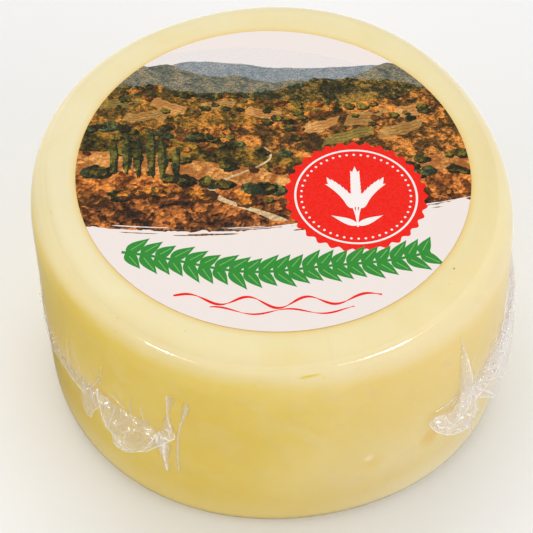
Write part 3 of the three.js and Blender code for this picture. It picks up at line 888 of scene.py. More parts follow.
bead_run(-158, -131, 80, 0.6, 0.8, 0.25, 0.15, 0.55)
bead_run(-395, -352, 60, 0.9, 0.8, 0.9, 0.18, 0.6)
bead_run(-352, -165, 110, 0.4, 0.8, 0.3, 0.16)
for k in range(46):
    c = rng.uniform(-34.0, 4.0)
    bead(c, float(np.interp(c, (-34, -20, -8, 4), (31.6, 32.7, 33.3, 34.2))) + rng.normal(0, 0.35), 0.75 + abs(rng.normal(0, 0.15)), 0.20 * rng.uniform(0.5, 1.4), rng.uniform(0.6, 0.95))
for b, z, o, r in ((-18.7, 26.4, 2.0, 0.42), (-24.6, 26.8, 2.0, 0.55), (-22.4, 35.0, 1.4, 0.30), (-28.6, 36.4, 1.0, 0.28), (-25.3, 30.5, 1.6, 0.34),
                   (-17.4, 33.4, 1.6, 0.30), (-32.2, 30.6, 1.4, 0.30), (-28.3, 25.4, 1.8, 0.30), (-20.4, 31.0, 1.8, 0.26),
                   (-23.4, 38.6, 0.8, 0.22), (-14.6, 36.0, 1.6, 0.26), (-12.0, 37.0, 1.6, 0.24), (-30.4, 27.6, 1.8, 0.26), (-16.0, 30.4, 2.2, 0.28)):
    bead(b, z, o, r, 0.85, 0.9)
edge = curve([(-36.4, 31.7, 2.0), (-35.1, 27.1, 2.7), (-34.7, 23.6, 3.0), (-35.8, 21.7, 3.1), (-38.2, 21.2, 3.2), (-41.0, 22.4, 3.2), (-43.4, 23.6, 3.1)], 30)
for k, (c, z, o) in enumerate(edge):
    bead(c + rng.normal(0, 0.12), z + rng.normal(0, 0.15), o + 0.35, 0.20 * rng.uniform(0.7, 1.5), rng.uniform(0.5, 0.95))
film_beads = beads.build("film_beads")

# ---------------------------------------------------------------------------------------------
# Label: the print is a set of outlines cut into one flat sheet of paper
# ---------------------------------------------------------------------------------------------
LABEL_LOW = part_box("label")[0][2] / MM
LABEL_MID = np.array([(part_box("label")[0][i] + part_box("label")[1][i]) / 2 / MM for i in (0, 1)])

GROUND = rgb(243, 232, 226)
SKY = rgb(238, 230, 227)
shapes = []  # (outline, middle colour, lit colour, dark colour, grain 0..1, near 0..1)


def shape(outline, colour, lit=None, dark=None, grain=0.0, near=0.5):
    shapes.append((np.asarray(outline, float), colour, lit or colour, dark or colour, grain, near))


def circle(x, y, r, n=64, squash=1.0, wave=0.0, lobes=0, turn=0.0):
    t = np.arange(n) / n * TAU
    q = r * (1 + wave * np.cos(lobes * t + turn))
    return np.stack([x + q * np.cos(t), y + q * squash * np.sin(t)], -1)


def blob(x, y, rx, ry, seed, n=26, rough=0.22):
    t = np.arange(n) / n * TAU
    k = 1 + rough * (soft_noise(np.cos(t) * 2.2 + 9, np.sin(t) * 2.2 + seed * 3.1, seed) * 2 - 1) + 0.5 * rough * (soft_noise(np.cos(t) * 6, np.sin(t) * 6 + seed, seed + 1) * 2 - 1)
    return np.stack([x + rx * k * np.cos(t), y + ry * k * np.sin(t)], -1)


def ridge(x, level, height, waves, seed, rough=0.0):
    """Skyline of a hill: heights over x."""
    y = level + height * (soft_noise(x / waves, 0 * x + seed, seed) - 0.5) * 2 + 0.35 * height * (soft_noise(x / waves * 3.1, 0 * x + seed, seed + 2) - 0.5)
    return y + rough * (soft_noise(x / 1.3, 0 * x, seed + 3) - 0.5) + 0.5 * rough * (soft_noise(x / 0.5, 0 * x, seed + 4) - 0.5)


X = np.linspace(-54, 54, 325)
FLOOR_LINE = lambda x: -13.0 - 5.0 * np.cos((x + 6) / 30) + 0.07 * x  # the picture's lower edge, bowed


def autumn(colour, lit, dark, share=1.0):
    """Turns a ground's colours browner and gives them more contrast."""
    return tuple(tuple(v * (1 + share * (k - 1)) for v, k in zip(c, gain)) for c, gain in
                 ((colour, (0.72, 0.47, 0.33)), (lit, (1.36, 0.94, 0.62)), (dark, (0.96, 0.58, 0.36))))


def band(top, low, colour, lit, dark, grain, near):
    if near > 0:
        colour, lit, dark = autumn(colour, lit, dark)
    shape(np.concatenate([np.stack([X, top], -1), np.stack([X, low], -1)[::-1]]), colour, lit, dark, grain, near)


def at(line, x):
    return float(np.interp(x, X, line))


low_edge = FLOOR_LINE(X) + 0.8 * (soft_noise(X / 2.3, 0 * X, 81) - 0.5) + 0.6 * (soft_noise(X / 0.8, 0 * X, 82) - 0.5)
sky_edge = 44.5 - 0.006 * (X + 8) ** 2 + 0.5 * soft_noise(X / 4, 0 * X, 83)
band(sky_edge, low_edge, SKY, rgb(246, 241, 239), rgb(228, 222, 224), 0.08, 0.0)
far = ridge(X, 38.8, 3.2, 19, 5, 0.2)
band(far, low_edge, rgb(140, 148, 152), rgb(174, 172, 166), rgb(108, 122, 132), 0.6, 0.0)
far2 = ridge(X + 13, 36.0, 3.4, 15, 8, 0.35)
band(far2, low_edge, rgb(118, 116, 98), rgb(160, 144, 112), rgb(76, 86, 80), 0.85, 0.0)
far3 = ridge(X + 4, 31.5, 3.2, 17, 31, 0.5)
band(far3, low_edge, rgb(82, 92, 52), rgb(146, 130, 68), rgb(44, 56, 38), 1.0, 0.1)
hill_l = 24.5 + 6.5 * bump(X, -34, 17) + 2.2 * bump(X, -6, 10) + 1.6 * (soft_noise(X / 6, 0 * X, 51) - 0.5) + 0.6 * (soft_noise(X / 1.1, 0 * X, 52) - 0.5)
band(hill_l, low_edge, rgb(128, 116, 50), rgb(196, 152, 68), rgb(56, 64, 32), 1.0, 0.3)
hill_r = 16.5 + 12.5 * smooth(X, -8, 44) + 1.8 * (soft_noise(X / 7, 0 * X, 53) - 0.5) + 0.6 * (soft_noise(X / 1.1, 0 * X, 54) - 0.5)
band(hill_r, low_edge, rgb(120, 100, 46), rgb(216, 158, 82), rgb(58, 54, 28), 1.0, 0.4)
wood = 13.0 + 4.0 * bump(X, -44, 16) - 6.5 * smooth(X, -24, 8) - 5 * smooth(X, 14, 46) + 1.2 * (soft_noise(X / 4, 0 * X, 55) - 0.5) + 0.9 * (soft_noise(X / 1.0, 0 * X, 56) - 0.5)
band(wood, low_edge, rgb(92, 96, 38), rgb(160, 134, 56), rgb(34, 42, 22), 1.0, 0.6)
meadow = 5.0 - 3.2 * np.cos((X - 6) / 17) + 0.5 * (soft_noise(X / 2, 0 * X, 57) - 0.5)
band(meadow, low_edge, rgb(206, 156, 86), rgb(236, 200, 134), rgb(150, 100, 50), 0.7, 0.6)
near1 = -2.5 + 4.2 * bump(X, -40, 18) + 3.6 * bump(X, 44, 17) - 2.0 * bump(X, 4, 20) + 0.8 * (soft_noise(X / 1.6, 0 * X, 58) - 0.5)
band(near1, low_edge, rgb(150, 98, 46), rgb(212, 152, 80), rgb(74, 52, 28), 1.0, 0.85)
near2 = -8.5 + 3.0 * bump(X, -30, 16) + 3.4 * bump(X, 34, 15) + 0.8 * (soft_noise(X / 1.6, 0 * X, 59) - 0.5)
band(near2, low_edge, rgb(112, 78, 42), rgb(190, 132, 72), rgb(44, 36, 24), 1.0, 1.0)

# open fields on the slopes, each an uneven four-sided patch that follows the ground
rng = np.random.default_rng(11)
for x0, x1, line, drop, depth, tint in (
    (9, 18, hill_r, 3.0, 4.2, 0), (20, 31, hill_r, 3.6, 4.8, 1), (33, 43, hill_r, 4.6, 4.4, 0), (14, 27, hill_r, 9.0, 4.0, 2), (29, 40, hill_r, 10.2, 4.6, 1),
    (-44, -34, hill_l, 4.0, 3.4, 2), (-31, -22, hill_l, 4.6, 3.6, 0), (-18, -9, hill_l, 2.2, 3.2, 1), (-6, 3, hill_l, 3.4, 3.0, 0), (-38, -27, hill_l, 9.0, 3.4, 1),
):
    x = np.linspace(x0, x1, 22)
    top = np.interp(x, X, line) - drop + 0.3 * (soft_noise(x / 2, 0 * x, 600 + x0) - 0.5)
    thin = depth * (0.55 + 0.45 * np.sin(np.linspace(0.5, 2.6, 22)))
    lean = np.linspace(0, 1.6, 22)
    mid_c, lit_c, dark_c = ((rgb(214, 164, 92), rgb(240, 206, 142), rgb(166, 116, 60)), (rgb(190, 152, 82), rgb(222, 190, 120), rgb(134, 104, 54)), (rgb(150, 138, 66), rgb(190, 172, 92), rgb(102, 96, 46)))[tint]
    mid_c, lit_c, dark_c = autumn(mid_c, lit_c, dark_c, 0.6)
    shape(np.concatenate([np.stack([x, top], -1), np.stack([x - 1.2, top - thin + 0.2 * lean], -1)[::-1]]), mid_c, lit_c, dark_c, 0.45, 0.3)
    for f in (0.25, 0.5, 0.75):  # furrows
        xf = x[3:-3]
        yf = top[3:-3] - thin[3:-3] * f
        w = 0.10 + 0.05 * rng.random(len(xf))
        shape(np.concatenate([np.stack([xf, yf + w], -1), np.stack([xf, yf - w], -1)[::-1]]), dark_c, mid_c, dark_c, 0.5, 0.3)

# a pale track that winds down from the fields to the front
t = np.linspace(0, 1, 70)
track_x = -4 + 12 * np.sin(2.2 * t * math.pi + 0.6) * (0.25 + 0.75 * t) - 6 * t
track_y = 9.5 - 25.0 * t**1.15
track_w = 0.22 + 1.9 * t**1.7
shape(np.concatenate([np.stack([track_x - track_w, track_y], -1), np.stack([track_x + track_w, track_y], -1)[::-1]]), rgb(216, 184, 134), rgb(240, 216, 172), rgb(166, 124, 80), 0.6, 0.9)

# hedges, bushes and trees, small and close far off, larger in front
WOODS = (
    (rgb(62, 80, 52), rgb(110, 124, 72), rgb(40, 56, 42)),
    (rgb(66, 72, 30), rgb(134, 128, 50), rgb(32, 38, 18)),
    (rgb(126, 84, 32), rgb(206, 142, 54), rgb(66, 46, 22)),
    (rgb(52, 56, 26), rgb(110, 108, 42), rgb(24, 28, 14)),
)
rng = np.random.default_rng(29)
for line, drop, count, size, first, near in (
    (far3, 1.0, 36, 0.8, 0, 0.1), (hill_l, 0.4, 44, 1.0, 1, 0.3), (hill_l, 8.0, 34, 1.1, 1, 0.3), (hill_r, 0.5, 40, 1.1, 2, 0.35), (hill_r, 8.0, 40, 1.2, 1, 0.4),
    (wood, 0.4, 46, 1.5, 3, 0.6), (meadow, 0.6, 24, 1.6, 1, 0.7), (near1, 0.4, 30, 1.9, 3, 0.9), (near2, 0.2, 26, 2.1, 2, 1.0),
):
    for _ in range(count):
        x = rng.uniform(-50, 50)
        y = at(line, x) - drop * rng.uniform(0, 1) ** 0.7 + rng.uniform(-0.5, 0.4)
        s = size * rng.uniform(0.55, 1.4)
        mid_c, lit_c, dark_c = autumn(*WOODS[(first + int(rng.random() < 0.3) + int(rng.random() < 0.12)) % 4], 0.7)
        seed = int(rng.integers(1000))
        shape(blob(x + 0.25 * s, y - 0.22 * s, s * 1.15, s * 0.75, seed, 20), dark_c, mid_c, dark_c, 0.6, near)
        shape(blob(x - 0.08 * s, y + 0.10 * s, s * 0.95, s * 0.72, seed + 2, 22), mid_c, lit_c, dark_c, 1.0, near)

# slim poplars on the left
for k, (x, h) in enumerate(((-41.5, 10), (-38.2, 13.5), (-35.2, 12), (-31.8, 15.5), (-28.9, 12.5), (-25.4, 10.5))):
    y = at(near1, x) - 0.8
    shape(blob(x + 0.4, y + h / 2 - 0.2, 1.1, h / 2, 400 + k, 40, 0.26), rgb(36, 42, 20), rgb(60, 62, 28), rgb(24, 28, 14), 0.9, 0.6)
    shape(blob(x - 0.1, y + h / 2 + 0.3, 0.85, h / 2.2, 420 + k, 40, 0.3), rgb(72, 74, 30), rgb(138, 122, 48), rgb(36, 40, 20), 1.0, 0.6)

# dry brush strokes along the picture's lower edge
rng = np.random.default_rng(41)
for k in range(30):
    x0 = rng.uniform(-50, 44)
    length = rng.uniform(4, 17)
    x = np.linspace(x0, x0 + length, 22)
    y = FLOOR_LINE(x) + rng.uniform(-1.7, 1.1)
    w = rng.uniform(0.10, 0.36) * np.sin(np.linspace(0.05, math.pi - 0.05, 22)) ** 0.5 * (0.6 + 0.8 * soft_noise(x / 0.7, 0 * x, 500 + k))
    outline = np.concatenate([np.stack([x, y + w], -1), np.stack([x, y - w], -1)[::-1]])
    if rng.random() < 0.55:
        shape(outline, GROUND)
    else:
        shape(outline, rgb(120, 84, 48), rgb(186, 132, 74), rgb(66, 48, 30), 0.9, 1.0)

# the red rosette on the right, with a pale ring, a dotted one and a wheat ear
RED, LEAF, WHITE = rgb(243, 30, 13), rgb(48, 142, 50), rgb(250, 242, 238)
SEAL = (21.0, -7.5)
shape(circle(*SEAL, 18.0, 288, wave=0.030, lobes=32), RED)
shape(circle(*SEAL, 15.9, 140), WHITE)
shape(circle(*SEAL, 15.35, 140), RED)
for k in range(48):
    a = k / 48 * TAU
    shape(circle(SEAL[0] + 14.1 * math.cos(a), SEAL[1] + 14.1 * math.sin(a), 0.34, 10), WHITE)


def leaf(x, y, angle, length, width, n=22, tip=0.62):
    t = np.linspace(0, 1, n)
    w = width / 2 * np.sin(np.pi * t**tip) ** 1.1
    s = np.concatenate([np.stack([t * length, w], -1), np.stack([t * length, -w], -1)[::-1][1:-1]])
    c, d = math.cos(angle), math.sin(angle)
    return np.stack([x + s[:, 0] * c - s[:, 1] * d, y + s[:, 0] * d + s[:, 1] * c], -1)


def stroke(x, y, w):
    """A line of varying width through points."""
    p = np.stack([x, y], -1)
    d = np.gradient(p, axis=0)
    n = np.stack([-d[:, 1], d[:, 0]], -1) / np.maximum(np.linalg.norm(d, axis=1, keepdims=True), 1e-9)
    w = np.broadcast_to(np.asarray(w, float), (len(p),))[:, None]
    return np.concatenate([p + n * w / 2, (p - n * w / 2)[::-1]])


# three wheat ears that spread from one foot
for turn, reach in ((0.42, 0.86), (-0.42, 0.86), (0.0, 1.0)):
    t = np.linspace(0, 1, 30)
    bend = turn * t**1.3
    stem_x = SEAL[0] + 19.5 * reach * t * np.sin(bend) * 0.9
    stem_y = SEAL[1] - 10.2 + 17.6 * reach * t * np.cos(bend * 0.8)
    shape(stroke(stem_x, stem_y, 0.5), WHITE)
    for k in range(8):
        f = 0.42 + 0.075 * k
        x, y = float(np.interp(f, t, stem_x)), float(np.interp(f, t, stem_y))
        lean = math.atan2(float(np.interp(f + 0.02, t, stem_y)) - y, float(np.interp(f + 0.02, t, stem_x)) - x)
        for side in (-1, 1):
            shape(leaf(x, y, lean - side * 0.50, 3.1 - 0.08 * k, 1.25), WHITE)
    shape(leaf(float(stem_x[-1]), float(stem_y[-1]) - 0.3, math.pi / 2 - turn, 3.0, 1.2), WHITE)
for side in (-1, 1):
    shape(leaf(SEAL[0], SEAL[1] - 9.6, math.pi / 2 - side * 1.12, 7.4, 2.0), WHITE)

# a bold green garland bowed across the lower part, with a few small berries
t = np.linspace(0, 1, 120)
gx = -39 + 78 * t
gy = -25.6 - 6.2 * np.sin(np.pi * t) + 0.6 * np.sin(12 * t)
shape(stroke(gx, gy, 0.85), LEAF)
for k in range(21):
    f = 0.015 + k / 21
    x, y = float(np.interp(f, t, gx)), float(np.interp(f, t, gy))
    slope = math.atan2(float(np.interp(f + 0.01, t, gy)) - y, float(np.interp(f + 0.01, t, gx)) - x)
    for side in (-1, 1):
        size = 7.0 + 0.7 * math.sin(k * 2.1 + side)
        shape(leaf(x, y, slope + side * 0.82, size, 3.3, 26), LEAF)
        shape(stroke(np.linspace(x + 1.4 * math.cos(slope + side * 0.82), x + (size - 1.6) * math.cos(slope + side * 0.82), 8),
                     np.linspace(y + 1.4 * math.sin(slope + side * 0.82), y + (size - 1.6) * math.sin(slope + side * 0.82), 8), 0.24), rgb(120, 186, 112))

# and a thin red flourish under it
t = np.linspace(0, 1, 200)
fx = -26 + 52 * t
fy = -39.6 - 2.4 * np.sin(np.pi * t) + 1.7 * np.sin(t * 7 * math.pi) * (0.45 + 0.55 * np.sin(np.pi * t))
shape(stroke(fx, fy, 0.25 + 0.55 * np.abs(np.sin(t * 7 * math.pi + 0.6))), RED)
fx2 = -17 + 36 * t
fy2 = -44.0 - 0.9 * np.sin(np.pi * t) + 0.9 * np.sin(t * 4 * math.pi + 1)
shape(stroke(fx2, fy2, 0.18 + 0.40 * np.abs(np.sin(t * 4 * math.pi + 0.4))), RED)


def inside(outline, pts):
    x, y = pts[:, 0], pts[:, 1]
    hit = np.zeros(len(pts), bool)
    a, b = outline, np.roll(outline, -1, axis=0)
    near = (x >= a[:, 0].min()) & (x <= a[:, 0].max()) & (y >= a[:, 1].min()) & (y <= a[:, 1].max())
    x, y = x[near], y[near]
    h = np.zeros(len(x), bool)
    for (x0, y0), (x1, y1) in zip(a, b):
        if y0 == y1:
            continue
        cross = (y0 > y) != (y1 > y)
        h ^= cross & (x < (x1 - x0) * (y - y0) / (y1 - y0) + x0)
    hit[near] = h
    return hit


def make_label():
    rim = circle(0, 0, LABEL_RADIUS, 256)
    verts, edges = [Vector(p) for p in rim], [(i, (i + 1) % len(rim)) for i in range(len(rim))]
    for outline, *_ in shapes:
        k = len(verts)
        verts += [Vector(p) for p in outline]
        edges += [(k + i, k + (i + 1) % len(outline)) for i in range(len(outline))]
    v, _, f, *_ = geometry.delaunay_2d_cdt(verts, edges, [], 0, 1e-4)
    v = np.array([tuple(p) for p in v])
    f = np.array([t for t in f if len(t) == 3])
    mid = v[f].mean(1)
    area = np.abs(np.cross(v[f[:, 1]] - v[f[:, 0]], v[f[:, 2]] - v[f[:, 0]])) / 2
    keep = inside(rim, mid) & (area > 1e-9)
    f, mid = f[keep], mid[keep]
    d = v[f[:, 1]] - v[f[:, 0]], v[f[:, 2]] - v[f[:, 0]]
    f = np.where((d[0][:, 0] * d[1][:, 1] - d[0][:, 1] * d[1][:, 0] < 0)[:, None], f[:, ::-1], f)
    colour = np.tile(GROUND, (len(f), 1))
    lit, dark, grain, near = colour.copy(), colour.copy(), np.zeros(len(f)), np.zeros(len(f))
    for outline, c, l, d, g, q in shapes:
        hit = inside(outline, mid)
        colour[hit], lit[hit], dark[hit], grain[hit], near[hit] = c, l, d, g, q
    used, f = np.unique(f, return_inverse=True)
    f = f.reshape(-1, 3)
    v = v[used]
    n = len(v)
    turn = math.radians(3.0)
    rot = np.stack([v[:, 0] * math.cos(turn) - v[:, 1] * math.sin(turn), v[:, 0] * math.sin(turn) + v[:, 1] * math.cos(turn)], -1) + LABEL_MID
    pts = np.concatenate([np.column_stack([rot, np.full(n, LABEL_LOW + 0.06)]), np.column_stack([rot, np.full(n, LABEL_LOW)])])
    edge = {}
    for t in f:
        for a, b in ((t[0], t[1]), (t[1], t[2]), (t[2], t[0])):
            edge[(a, b)] = edge.get((a, b), 0) + 1
    border = [(a, b) for (a, b) in edge if (b, a) not in edge]
    walls = [(b, a, a + n, b + n) for a, b in border]
    tris = np.concatenate([f, f[:, ::-1] + n])
    obj = add_mesh("label_print", pts, walls, tris, smooth_faces=False)
    me = obj.data
    count, w = len(me.polygons), len(walls)
    sizes = np.array([p.loop_total for p in me.polygons])
    for key, data in (("print", colour), ("print_lit", lit), ("print_dark", dark)):
        whole = np.tile(GROUND, (count, 1))
        whole[w:w + len(f)] = data
        layer = me.attributes.new(key, "FLOAT_COLOR", "CORNER")
        flat = np.repeat(np.column_stack([whole, np.ones(count)]), sizes, axis=0)
        layer.data.foreach_set("color", flat.astype(np.float32).ravel())
    for key, data in (("grain", grain), ("near", near)):
        whole = np.zeros(count)
        whole[w:w + len(f)] = data
        layer = me.attributes.new(key, "FLOAT", "CORNER")
        layer.data.foreach_set("value", np.repeat(whole, sizes).astype(np.float32))
    return obj


label = make_label()

# ---------------------------------------------------------------------------------------------
# Materials
# ---------------------------------------------------------------------------------------------
DEEP, DEEP_WARM, DEEP_LIGHT = (0.80, 0.595, 0.122), (0.80, 0.580, 0.100), (0.82, 0.630, 0.165)
# the top's paler colours stand partly for painted sheen
TOP_PALE_SHEEN, TOP_WARM_SHEEN, TOP_LIGHT_SHEEN = (0.91, 0.785, 0.440), (0.90, 0.755, 0.385), (0.92, 0.800, 0.485)
# cream for the top, partly painted sheen
CREAM_SHEEN = (0.93, 0.84, 0.56)


# tiny specks in the cheese: bearing, height, radius, share, colour
SPECKS = (
    (-34.3, 75.5, 0.24, 0.85, rgb(140, 72, 24)), (-163.2, 74.0, 0.18, 0.5, rgb(120, 84, 44)), (-91.2, 40.2, 0.20, 0.55, rgb(128, 92, 40)),
    (-127.8, 71.3, 0.16, 0.5, rgb(110, 84, 40)), (-110.2, 74.9, 0.15, 0.5, rgb(110, 84, 40)), (-127.4, 67.5, 0.16, 0.45, rgb(110, 84, 40)),
    (-38.6, 74.6, 0.14, 0.4, rgb(150, 110, 50)), (-55.0, 44.0, 0.16, 0.4, rgb(140, 100, 44)), (20.0, 70.0, 0.18, 0.5, rgb(120, 84, 44)),
    (96.0, 52.0, 0.20, 0.5, rgb(128, 92, 40)), (150.0, 30.0, 0.16, 0.5, rgb(128, 92, 40)),
    # a small pale eye with deeper paste round it, and a deeper patch beside the right ear
    (-64.2, 23.6, 3.0, 0.45, rgb(240, 204, 78)), (-65.3, 26.0, 1.1, 0.70, rgb(252, 238, 200)), (-47.5, 22.2, 2.9, 0.60, rgb(234, 188, 70)),
)


def cheese_material():
    m = Nodes("cheese_paste")
    where = m.place()
    clouds = m.noise(where, 24, 4, 0.55, 0.4)
    streak = m.noise(m.place((60, 60, 11)), 1.0, 4, 0.6, 0.6)
    grain = m.noise(where, 240, 3, 0.6)
    # the pale top and shoulder: partly the cheese's own colour, partly painted sheen
    pale = m.attribute("pale")
    edge = m.math("MULTIPLY_ADD", m.math("SUBTRACT", clouds, 0.5), 0.35, pale)
    deep = m.ramp(clouds, (0.30, DEEP_WARM), (0.52, DEEP), (0.74, DEEP_LIGHT))
    top = m.ramp(clouds, (0.30, TOP_WARM_SHEEN), (0.55, TOP_PALE_SHEEN), (0.74, TOP_LIGHT_SHEEN))
    base = m.mix(m.math("MULTIPLY", edge, 1.0, clamp=True), deep, top)
    # a whiter cream on the top, partly painted sheen
    base = m.mix(m.math("MULTIPLY", m.attribute("cream"), m.range(clouds, 0.3, 0.7, 0.8, 1.1), clamp=True), base, CREAM_SHEEN)
    base = m.mix(m.range(streak, 0.46, 0.72, 0, 0.16), base, DEEP_LIGHT)
    base = m.mix(m.range(grain, 0.45, 0.8, 0, 0.07), base, rgb(252, 240, 206))
    # painted light from the floor on the paler foot
    base = m.mix(m.math("MULTIPLY", m.attribute("foot"), 0.78, clamp=True), base, (0.955, 0.825, 0.49))
    # painted shade: deeper colour at the far left shoulder and on the right side
    base = m.mix(m.attribute("rim"), base, (0.90, 0.90, 0.82), "MULTIPLY")
    # painted shade along the shoulder
    base = m.mix(m.attribute("brow_shade"), base, (0.930, 0.905, 0.820), "MULTIPLY")
    base = m.mix(m.math("MULTIPLY", m.attribute("mark"), 1.0, clamp=True), base, rgb(232, 202, 34))
    away = m.node("VectorMath", operation="DISTANCE")
    m.put(away.inputs[0], m.node("TexCoord").outputs["Object"])
    away.inputs[1].default_value = (LABEL_MID[0] * MM, LABEL_MID[1] * MM, HEIGHT * MM)
    rim = m.range(away.outputs["Value"], LABEL_RADIUS * MM, (LABEL_RADIUS + 2.1) * MM, 0.80, 0.0)
    base = m.mix(m.math("POWER", rim, 1.5), base, rgb(246, 206, 104))
    for bearing, height, size, share, tint in SPECKS:
        spot = m.node("VectorMath", operation="DISTANCE")
        m.put(spot.inputs[0], m.node("TexCoord").outputs["Object"])
        spot.inputs[1].default_value = tuple(skin_point(bearing, height, -FILM_UNDER - 0.06) * MM)
        base = m.mix(m.range(spot.outputs["Value"], 0.4 * size * MM, 1.5 * size * MM, share, 0.0), base, tint)
    p = m.node("BsdfPrincipled")
    m.put(p.inputs["Base Color"], base)
    p.inputs["Subsurface Weight"].default_value = 0.2
    p.inputs["Subsurface Radius"].default_value = (1.0, 0.7, 0.3)
    p.inputs["Subsurface Scale"].default_value = 0.0018
    p.inputs["Specular IOR Level"].default_value = 0.25
    m.put(p.inputs["Roughness"], m.range(clouds, 0.3, 0.7, 0.42, 0.56))
    h = m.math("ADD", m.math("MULTIPLY", grain, 0.3), clouds)
    m.put(p.inputs["Normal"], m.bump_normal(h, 0.2, 0.0005))
    m.surface(p.outputs[0])
    return m.mat


def film_material(name, rough, bump_mm, crinkled):
    """Clear film: it mirrors a little, lets the rest through, and is milky where it is creased or doubled."""
    m = Nodes(name)
    where = m.place()
    ripple = m.noise(where, 60, 3, 0.5, 0.3)
    crinkle = m.noise(where, 1000, 4, 0.6, 0.5)
    height = m.math("MULTIPLY_ADD", crinkle, 0.4 if crinkled else 0.0, ripple)
    whiteness = m.attribute("milk")
    if not crinkled:
        lines = m.noise(m.place((820, 820, 26)), 1.0, 2, 0.55, 0.25)
        near_half = m.math("ABSOLUTE", m.math("MULTIPLY_ADD", lines, 2.0, -1.0))
        thin = m.math("MULTIPLY", m.math("POWER", m.math("SUBTRACT", 1.0, near_half, clamp=True), 9.0), m.attribute("drawn"))
        height = m.math("MULTIPLY_ADD", thin, 3.0, height)
        whiteness = m.math("MULTIPLY_ADD", thin, 0.36, whiteness)
    normal = m.bump_normal(height, 0.3, bump_mm * MM)
    facing = m.node("LayerWeight")
    facing.inputs["Blend"].default_value = 0.5
    m.put(facing.inputs["Normal"], normal)
    mirror = m.math("MULTIPLY_ADD", m.math("POWER", facing.outputs["Facing"], 5.0), 0.06 if crinkled else 0.30, 0.05)
    speck = m.noise(where, 1500, 3, 0.7)
    milk = m.math("MULTIPLY", whiteness, m.range(speck, 0.3, 0.75, 0.75, 1.25), clamp=True)
    clear = m.node("BsdfTransparent")
    clear.inputs["Color"].default_value = (0.99, 0.99, 0.99, 1)
    # milky film scatters light within itself, so its white is shaded more evenly than its folds are bent
    out = m.node("VectorMath", operation="MULTIPLY")
    m.put(out.inputs[0], m.node("TexCoord").outputs["Object"])
    out.inputs[1].default_value = (1, 1, 0)
    unit = m.node("VectorMath", operation="NORMALIZE")
    m.put(unit.inputs[0], out.outputs[0])
    along = m.node("VectorMath", operation="DOT_PRODUCT")
    m.put(along.inputs[0], unit.outputs[0])
    m.put(along.inputs[1], normal)
    half = m.node("VectorMath", operation="MULTIPLY_ADD")
    m.put(half.inputs[0], unit.outputs[0])
    m.put(half.inputs[1], m.math("MULTIPLY", m.math("SIGN", along.outputs["Value"]), 1.3))
    m.put(half.inputs[2], normal)
    even = m.node("VectorMath", operation="NORMALIZE")
    m.put(even.inputs[0], half.outputs[0])
    white = m.node("BsdfDiffuse")
    # thin haze takes on the warm light from the cheese behind it; thick creases are white
    m.put(white.inputs["Color"], m.mix(m.range(milk, 0.42, 0.78, 0, 1), (0.85, 0.79, 0.755), (0.99, 0.98, 0.99)))
    m.put(white.inputs["Normal"], even.outputs[0])
    through = m.node("BsdfTranslucent")
    through.inputs["Color"].default_value = (0.93, 0.925, 0.92, 1)
    m.put(through.inputs["Normal"], even.outputs[0])
    haze = m.node("MixShader")
    haze.inputs[0].default_value = 0.10
    m.tree.links.new(white.outputs[0], haze.inputs[1])
    m.tree.links.new(through.outputs[0], haze.inputs[2])
    body = m.node("MixShader")
    m.put(body.inputs[0], milk)
    m.tree.links.new(clear.outputs[0], body.inputs[1])
    m.tree.links.new(haze.outputs[0], body.inputs[2])
    gloss = m.node("BsdfGlossy")
    gloss.inputs["Color"].default_value = (1, 1, 1, 1)
    m.put(gloss.inputs["Roughness"], m.range(ripple, 0.3, 0.7, *rough))
    m.put(gloss.inputs["Normal"], normal)
    top = m.node("MixShader")
    m.put(top.inputs[0], mirror)
    m.tree.links.new(body.outputs[0], top.inputs[1])
    m.tree.links.new(gloss.outputs[0], top.inputs[2])
    m.surface(top.outputs[0])
    return m.mat


